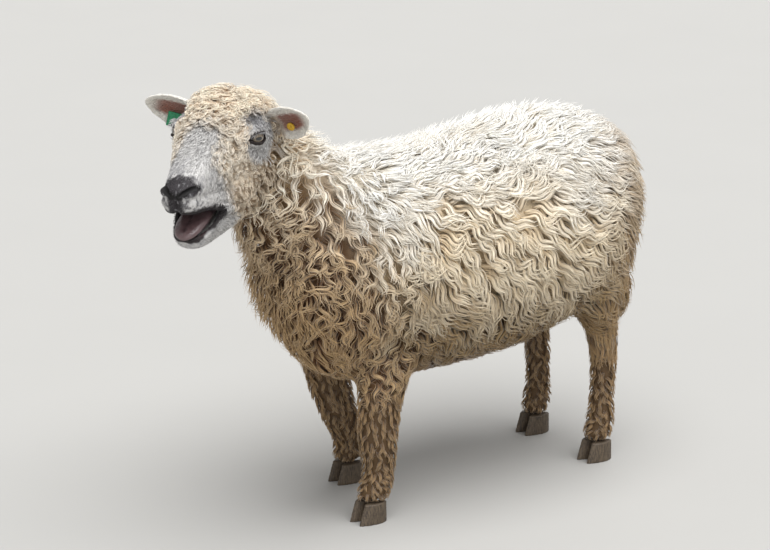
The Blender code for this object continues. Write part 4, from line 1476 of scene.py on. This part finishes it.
def face_hair(locks):
    """Short flat hair on the face, shorter on the dark nose and lips, and some of it dark."""
    _, forward, _ = in_head(locks.spots)
    length = np.interp(forward, [-0.02, 0.04, 0.09, 0.13, 0.15], [0.008, 0.011, 0.009, 0.0055, 0.0032])
    locks.measure(length, 0.75, 1.25)
    locks.length = locks.length * (1 - 0.6 * nose_weight(locks.spots)[1])
    headings = locks.stray(0.26) + locks.draws.normal(0, 0.30, (locks.count, 2))
    loft = np.interp(forward, [0.0, 0.05, 0.12, 0.15], [0.0055, 0.0052, 0.0020, 0.0009])
    loft = loft * locks.vary(0.6, 1.2)
    width = np.interp(forward, [0.03, 0.14], [0.00125, 0.00075])
    *hairs, colours = locks.grow(head_flow, headings, quarter_arch(1.0), locks.alone(),
                                 gather=0.0, loft=loft, width=width, fine=0.15)
    dark = locks.vary(0, 1) < 0.13 + 0.17 * ramp(forward, 0.04, 0.11)
    shade = np.where(dark, locks.vary(0.35, 0.75), locks.vary(0.92, 1.10))
    return *hairs, colours * shade[:, None, None]


def ear_hair(locks):
    """Short hair on both faces of the ears, longer at their rims."""
    _, inner, rim = ear_weight(locks.spots)
    locks.measure(0.0068 + 0.0022 * rim - 0.001 * inner, 0.8, 1.2)
    headings = locks.stray(0.35) + np.zeros((1, 2))
    return locks.grow(ear_flow, headings, quarter_arch(1.1), locks.alone(),
                      gather=0.0, loft=0.0014 + 0.0020 * rim, width=0.0011, fine=0.15)


def leg_wool(locks):
    """Short woolly curls on the legs, shorter still above the claws."""
    z = locks.spots[:, 2]
    length = np.interp(z, [0.04, 0.09, 0.26], [0.010, 0.018, 0.030])
    locks.measure(length, 0.8, 1.2, segments=5)
    start, wave = locks.column(0, 1), 0.022
    headings = 0.7 * np.cos(math.tau * (start + locks.way / wave)) + locks.stray(0.2)
    beside = locks.side_by_side(2, reach=0.0026, slide=0.003, low=0.8, high=1.1,
                                broad=1, ribbon=2.4)
    width = np.interp(z, [0.04, 0.20], [0.0014, 0.0020])
    return locks.grow(body_flow, headings, rising(0.1, 0.8), beside,
                      gather=0.4, loft=0.030, width=width, fine=0.2)


LASHES, LASH_LENGTH, LASH_WIDTH = 30, 0.0075, 0.0006


def lashes(side):
    """Lashes of the upper lid: they stand out of the rim and droop."""
    draws = np.random.default_rng(109)
    axes = np.array(eye_axes(side))
    angles = np.linspace(0.10, 0.92, LASHES) * math.pi + draws.normal(0, 0.02, LASHES)
    toward, rise = flat = np.array([lid_line(angle) for angle in angles]).T * 1.06
    depth = np.sqrt((EYE_RADIUS + 0.0035) ** 2 - (flat ** 2).sum(0))
    length = LASH_LENGTH * draws.uniform(0.7, 1.15, LASHES)
    lines = np.stack([np.stack([toward * (1 + 0.10 * along),
                                rise + along * length * (0.35 - 0.75 * along),
                                depth + along * length * 0.80], -1)
                      for along in np.linspace(0, 1, 5)], 1) @ axes.T + np.array(EYES[side])
    out = np.broadcast_to(axes[:, 1], lines.shape)
    colours = np.broadcast_to(blend_in(BROW_GREY, FACE_WHITE, 0.4), lines.shape)
    return lines, out, taper(5, LASH_WIDTH, draws, LASHES, 0.2), colours


# ---- the coat
OUTER_VOXEL = 0.0045
# What makes a style's strands, the seed of its draws, and a name of its finish, which is passed on but
# not used: every style is made of wool
STYLES = {"back_wool": (back_wool, 101, "wool"), "flank_wool": (flank_wool, 102, "wool"),
          "neck_wool": (neck_wool, 103, "wool"), "topknot": (topknot, 104, "wool"),
          "cheek_wool": (cheek_wool, 105, "wool"), "face_hair": (face_hair, 106, "face_hair"),
          "ear_hair": (ear_hair, 107, "face_hair"), "leg_wool": (leg_wool, 108, "leg_wool")}


def outer_tree():
    """The outside of the solids, without the faces where they meet."""
    shell = nodes_as_one("outer", FLESH_NODES)
    remesh(shell, OUTER_VOXEL, smoothing=0)
    tree = tree_of(shell.data)
    bpy.data.objects.remove(shell, do_unlink=True)
    return tree


def coat_zones(spots):
    """For each style: where it grows, and how far apart its locks are."""
    x, y, z = spots.T
    head, face, _, top = head_weights(spots)
    ear = ear_weight(spots)[0] > 0.3
    on_head = (head > 0.5) & ~ear
    on_leg = (z < 0.225) & (y < 0.45) & ~on_head
    body = ~on_head & ~on_leg & ~ear
    mixed = np.random.default_rng(110).uniform(-1, 1, len(spots))   # so that borders are soft
    neck = y + 0.3 * (z - 0.45) + 0.020 * mixed < -0.08
    back = z + 0.02 * BLOTCH(spots) + 0.035 * mixed > 0.555
    bare = hidden_places(spots)
    curls = on_head & (face + 0.40 * mixed < 0.5) & ~bare
    curl_gap = np.interp(wool_inside(spots), [0.0, 0.05], [0.0044, 0.0056])
    behind = ramp(y - 0.25 * (z - 0.45), 0.33, 0.37) * ramp(np.abs(x), 0.14, 0.09)
    flank_gap = 0.0156 - 0.0026 * behind - 0.0030 * behind * ramp(z, 0.43, 0.47)
    return {
        "back_wool": (body & ~neck & back, 0.0145),
        "flank_wool": (body & ~neck & ~back, flank_gap),
        "neck_wool": (body & neck, 0.0104),
        "topknot": (curls & (top >= 0.5), 0.0041),
        "cheek_wool": (curls & (top < 0.5), curl_gap),
        "face_hair": (on_head & (face >= 0.3) & ~bare, 0.0019),
        "ear_hair": (ear, 0.0019),
        "leg_wool": (on_leg & (z > 0.034), np.interp(z, [0.04, 0.22], [0.0062, 0.0100])),
    }


def hidden_places(points):
    """True in the mouth, in the eye sockets and on the bare rims of the lids."""
    _, forward, _ = in_head(points)
    hidden = (mouth_ring(points, 0.027, 0.016) < 1.0) & (forward > 0.02) & (forward < 0.135)
    hidden |= nostril_gap(points) < 0.0058
    for local in from_eyes(points):
        toward, rise, out = local.T
        hidden |= (np.hypot(toward / 1.6, rise) < 0.0138) & (out > 0) & (out < 0.03)
        hidden |= np.linalg.norm(local, axis=1) < EYE_RADIUS + 0.0012
    return hidden


def grow_coat(skin):
    """Choose the places for each style and make the pieces of the coat."""
    strands, skin_map = Strands(tree_of(skin.data), outer_tree()), SkinMap(skin)
    spots = scatter(skin)
    wool = wool_material()
    for name, (mask, gap) in coat_zones(spots).items():
        chosen = spots[mask]
        roots = chosen[spaced(chosen, np.broadcast_to(gap, len(spots))[mask])]
        make, seed, slot = STYLES[name]
        coat_pieces(name, make(Locks(strands, roots, seed)), wool, skin_map, slot)
    for name, side in SIDES.items():
        coat_pieces("lashes_" + name, lashes(side), wool, skin_map, "face_hair")


# ---- eyes, tongue, claws and tags
EYE_RINGS, EYE_SIDES = 48, 72
CORNEA_RISE, CORNEA_ANGLE = 0.0006, 0.42
IRIS, IRIS_AHEAD = 0.0086, 0.0030   # radius, and how far towards the nose it looks
CLAW_VOXEL = 0.0016
GROWTH_SPACING, GROWTH_HEIGHT = 0.0045, 0.00025   # of a claw's rings of growth
# Forward, up, half width, reach up, reach down
TONGUE = [
    (0.048, -0.0970, 0.0160, 0.0060, 0.0060),
    (0.070, -0.0945, 0.0220, 0.0100, 0.0100),
    (0.105, -0.0985, 0.0240, 0.0105, 0.0100),
    (0.130, -0.1035, 0.0218, 0.0095, 0.0078),
    (0.146, -0.1080, 0.0160, 0.0068, 0.0055),
    (0.153, -0.1108, 0.0068, 0.0030, 0.0030),
]


def finished(piece, material, slot, *nodes):
    """Give a piece its material, and let it stand for nodes of the frame."""
    piece.data.materials.clear()
    piece.data.materials.append(material)
    piece.data.shade_smooth()
    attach(piece, "root")
    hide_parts(*nodes)


def eye_colours(local):
    """Dark ball, light brown iris with streaks, and a pupil that lies level."""
    toward, rise, _ = local.T
    toward, rise = toward - IRIS_AHEAD, rise + 0.0005
    radius, turn = np.hypot(toward, rise), np.arctan2(rise, toward)
    streak = 0.5 + 0.25 * np.sin(turn * 31 + 2 * np.sin(turn * 7)) + 0.25 * np.sin(turn * 13)
    iris = blend_in(IRIS_BROWN, IRIS_LIGHT, streak * ramp(radius, IRIS, 0.6 * IRIS))
    colour = blend_in(iris, EYE_DARK, ramp(radius, 0.90 * IRIS, IRIS))
    pupil = (np.abs(toward) / 0.0054) ** 2.6 + (np.abs(rise) / 0.0028) ** 2.6
    return blend_in(colour, PUPIL_BLACK, ramp(pupil, 1.25, 0.80))


def make_eye(name, side, material):
    """The eyeball, with its rings close together where it looks out."""
    axes, rings = eye_axes(side), []
    for k in range(EYE_RINGS + 1):
        angle = math.pi * (k / EYE_RINGS) ** 1.7
        reach = EYE_RADIUS + CORNEA_RISE * math.exp(-(angle / CORNEA_ANGLE) ** 2)
        flat = max(math.sin(angle), 1e-4)
        rings.append([EYES[side] + axes @ (Vector((flat * math.cos(turn), flat * math.sin(turn),
                                                   math.cos(angle))) * reach)
                      for turn in turns(EYE_SIDES)])
    mesh = mesh_from_rings(rings, "eyeball_" + name)
    local = (points_of(mesh) - np.array(EYES[side])) @ np.array(axes)
    store_colours(mesh, eye_colours(local))
    finished(new_object("eyeball_" + name, mesh), material, "eye", "eye_" + name)


def make_tongue():
    """The tongue, with the groove along its middle, painted darker at its back and in the groove as shade
    inside the mouth.
    """
    mesh = head_loft(TONGUE, power=2.3, sides=64, step=0.002, name="tongue_flesh")
    points = points_of(mesh)
    lateral, forward, _ = in_head(points)
    upper = np.clip(normals_of(mesh) @ -HEAD_DOWN, 0, 1)
    groove = bump_at(lateral, 0, 0.0030) * ramp(forward, 0.050, 0.075) * ramp(forward, 0.158, 0.145)
    # Painted shade: darker towards the back of the mouth and in the groove.
    shaded = np.maximum(ramp(forward, 0.105, 0.070), 0.5 * groove)
    colours = blend_in(TONGUE_MAUVE, TONGUE_SHADE, np.clip(shaded + 0.25 * FLECK(points), 0, 1))
    push_out(mesh, -0.0016 * groove * upper + 0.0003 * Swirl(0.007, 51)(points) * upper)
    store_colours(mesh, colours)
    finished(new_object("tongue_flesh", mesh), tongue_material(), "tongue", "tongue")


def make_claw(node, material):
    """A finer copy of a claw, rounded at its edges, with rings of growth."""
    claw = new_object(node + "_horn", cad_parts[node].data.copy())
    remesh(claw, CLAW_VOXEL, smoothing=3)
    points, normals = points_of(claw.data), normals_of(claw.data)
    ring = np.sin(points[:, 2] * math.tau / GROWTH_SPACING + 1.2 * FLECK(points))
    ring = ring * ramp(points[:, 2], 0.001, 0.004) * ramp(np.abs(normals[:, 2]), 0.8, 0.5)
    push_out(claw.data, GROWTH_HEIGHT * ring)
    finished(claw, material, "claw_horn", node)


def paint_tags():
    """The tags keep their own solids."""
    for node, dark, light in (("tag_green", linear(22, 118, 78), linear(52, 158, 110)),
                              ("tag_yellow", linear(196, 150, 34), linear(232, 190, 70))):
        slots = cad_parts[node].data.materials
        slots.clear()
        slots.append(plastic_material(node, dark, light))


def make_small_parts():
    eye, horn = eye_material(), horn_material()
    for name, side in SIDES.items():
        make_eye(name, side, eye)
    make_tongue()
    for node in sorted(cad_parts):
        if node.startswith("claw"):
            make_claw(node, horn)
    paint_tags()


# ---- floor and lights
FLOOR_SIZE = 80.0
FLOOR_TONE = (0.42, 0.415, 0.40)
SKY_TONE, SKY_STRENGTH = (0.98, 0.98, 0.98, 1), 0.40
# The way towards each soft sun, the angle it fills in degrees, and its power
LIGHTS = {"key": ((0.30, 0.02, 1.0), 60, 3.95), "fill": ((0.75, -0.60, 0.35), 70, 0.65),
          "rim": ((-0.5, 0.8, 0.7), 40, 0.4)}


def make_studio():
    bpy.ops.mesh.primitive_plane_add(size=FLOOR_SIZE, location=(0, 0, 0))
    floor = bpy.context.active_object
    floor.name = "floor"
    made, tree, shader = new_material("floor", 0.85)
    tone = spread(tree, noise(tree, 3.0, 4.0), 0.3, 0.7, 0.992, 1.008)
    toned_colour(tree, shader, FLOOR_TONE, tone)
    floor.data.materials.append(made)
    floor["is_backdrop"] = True
    scene = bpy.context.scene
    scene.world = bpy.data.worlds.new("studio")
    scene.world.use_nodes = True
    background = scene.world.node_tree.nodes["Background"]
    background.inputs["Color"].default_value = SKY_TONE
    background.inputs["Strength"].default_value = SKY_STRENGTH
    for name, (toward, angle, power) in LIGHTS.items():
        data = bpy.data.lights.new(name, "SUN")
        data.energy, data.angle = power, math.radians(angle)
        lamp = bpy.data.objects.new(name, data)
        lamp.rotation_euler = Vector(toward).to_track_quat("Z", "Y").to_euler()
        scene.collection.objects.link(lamp)
    scene.view_settings.view_transform = "Standard"


def main():
    make_camera()
    make_studio()
    skin = make_skin()
    store_colours(skin.data, skin_colours(points_of(skin.data)))
    finished(skin, skin_material(), "face_hair", *FLESH_NODES)
    grow_coat(skin)
    make_small_parts()


main()
boxes = {"cad": CAD_BOX, "visual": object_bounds()}
{name: [list(corner) for corner in box] for name, box in boxes.items()}
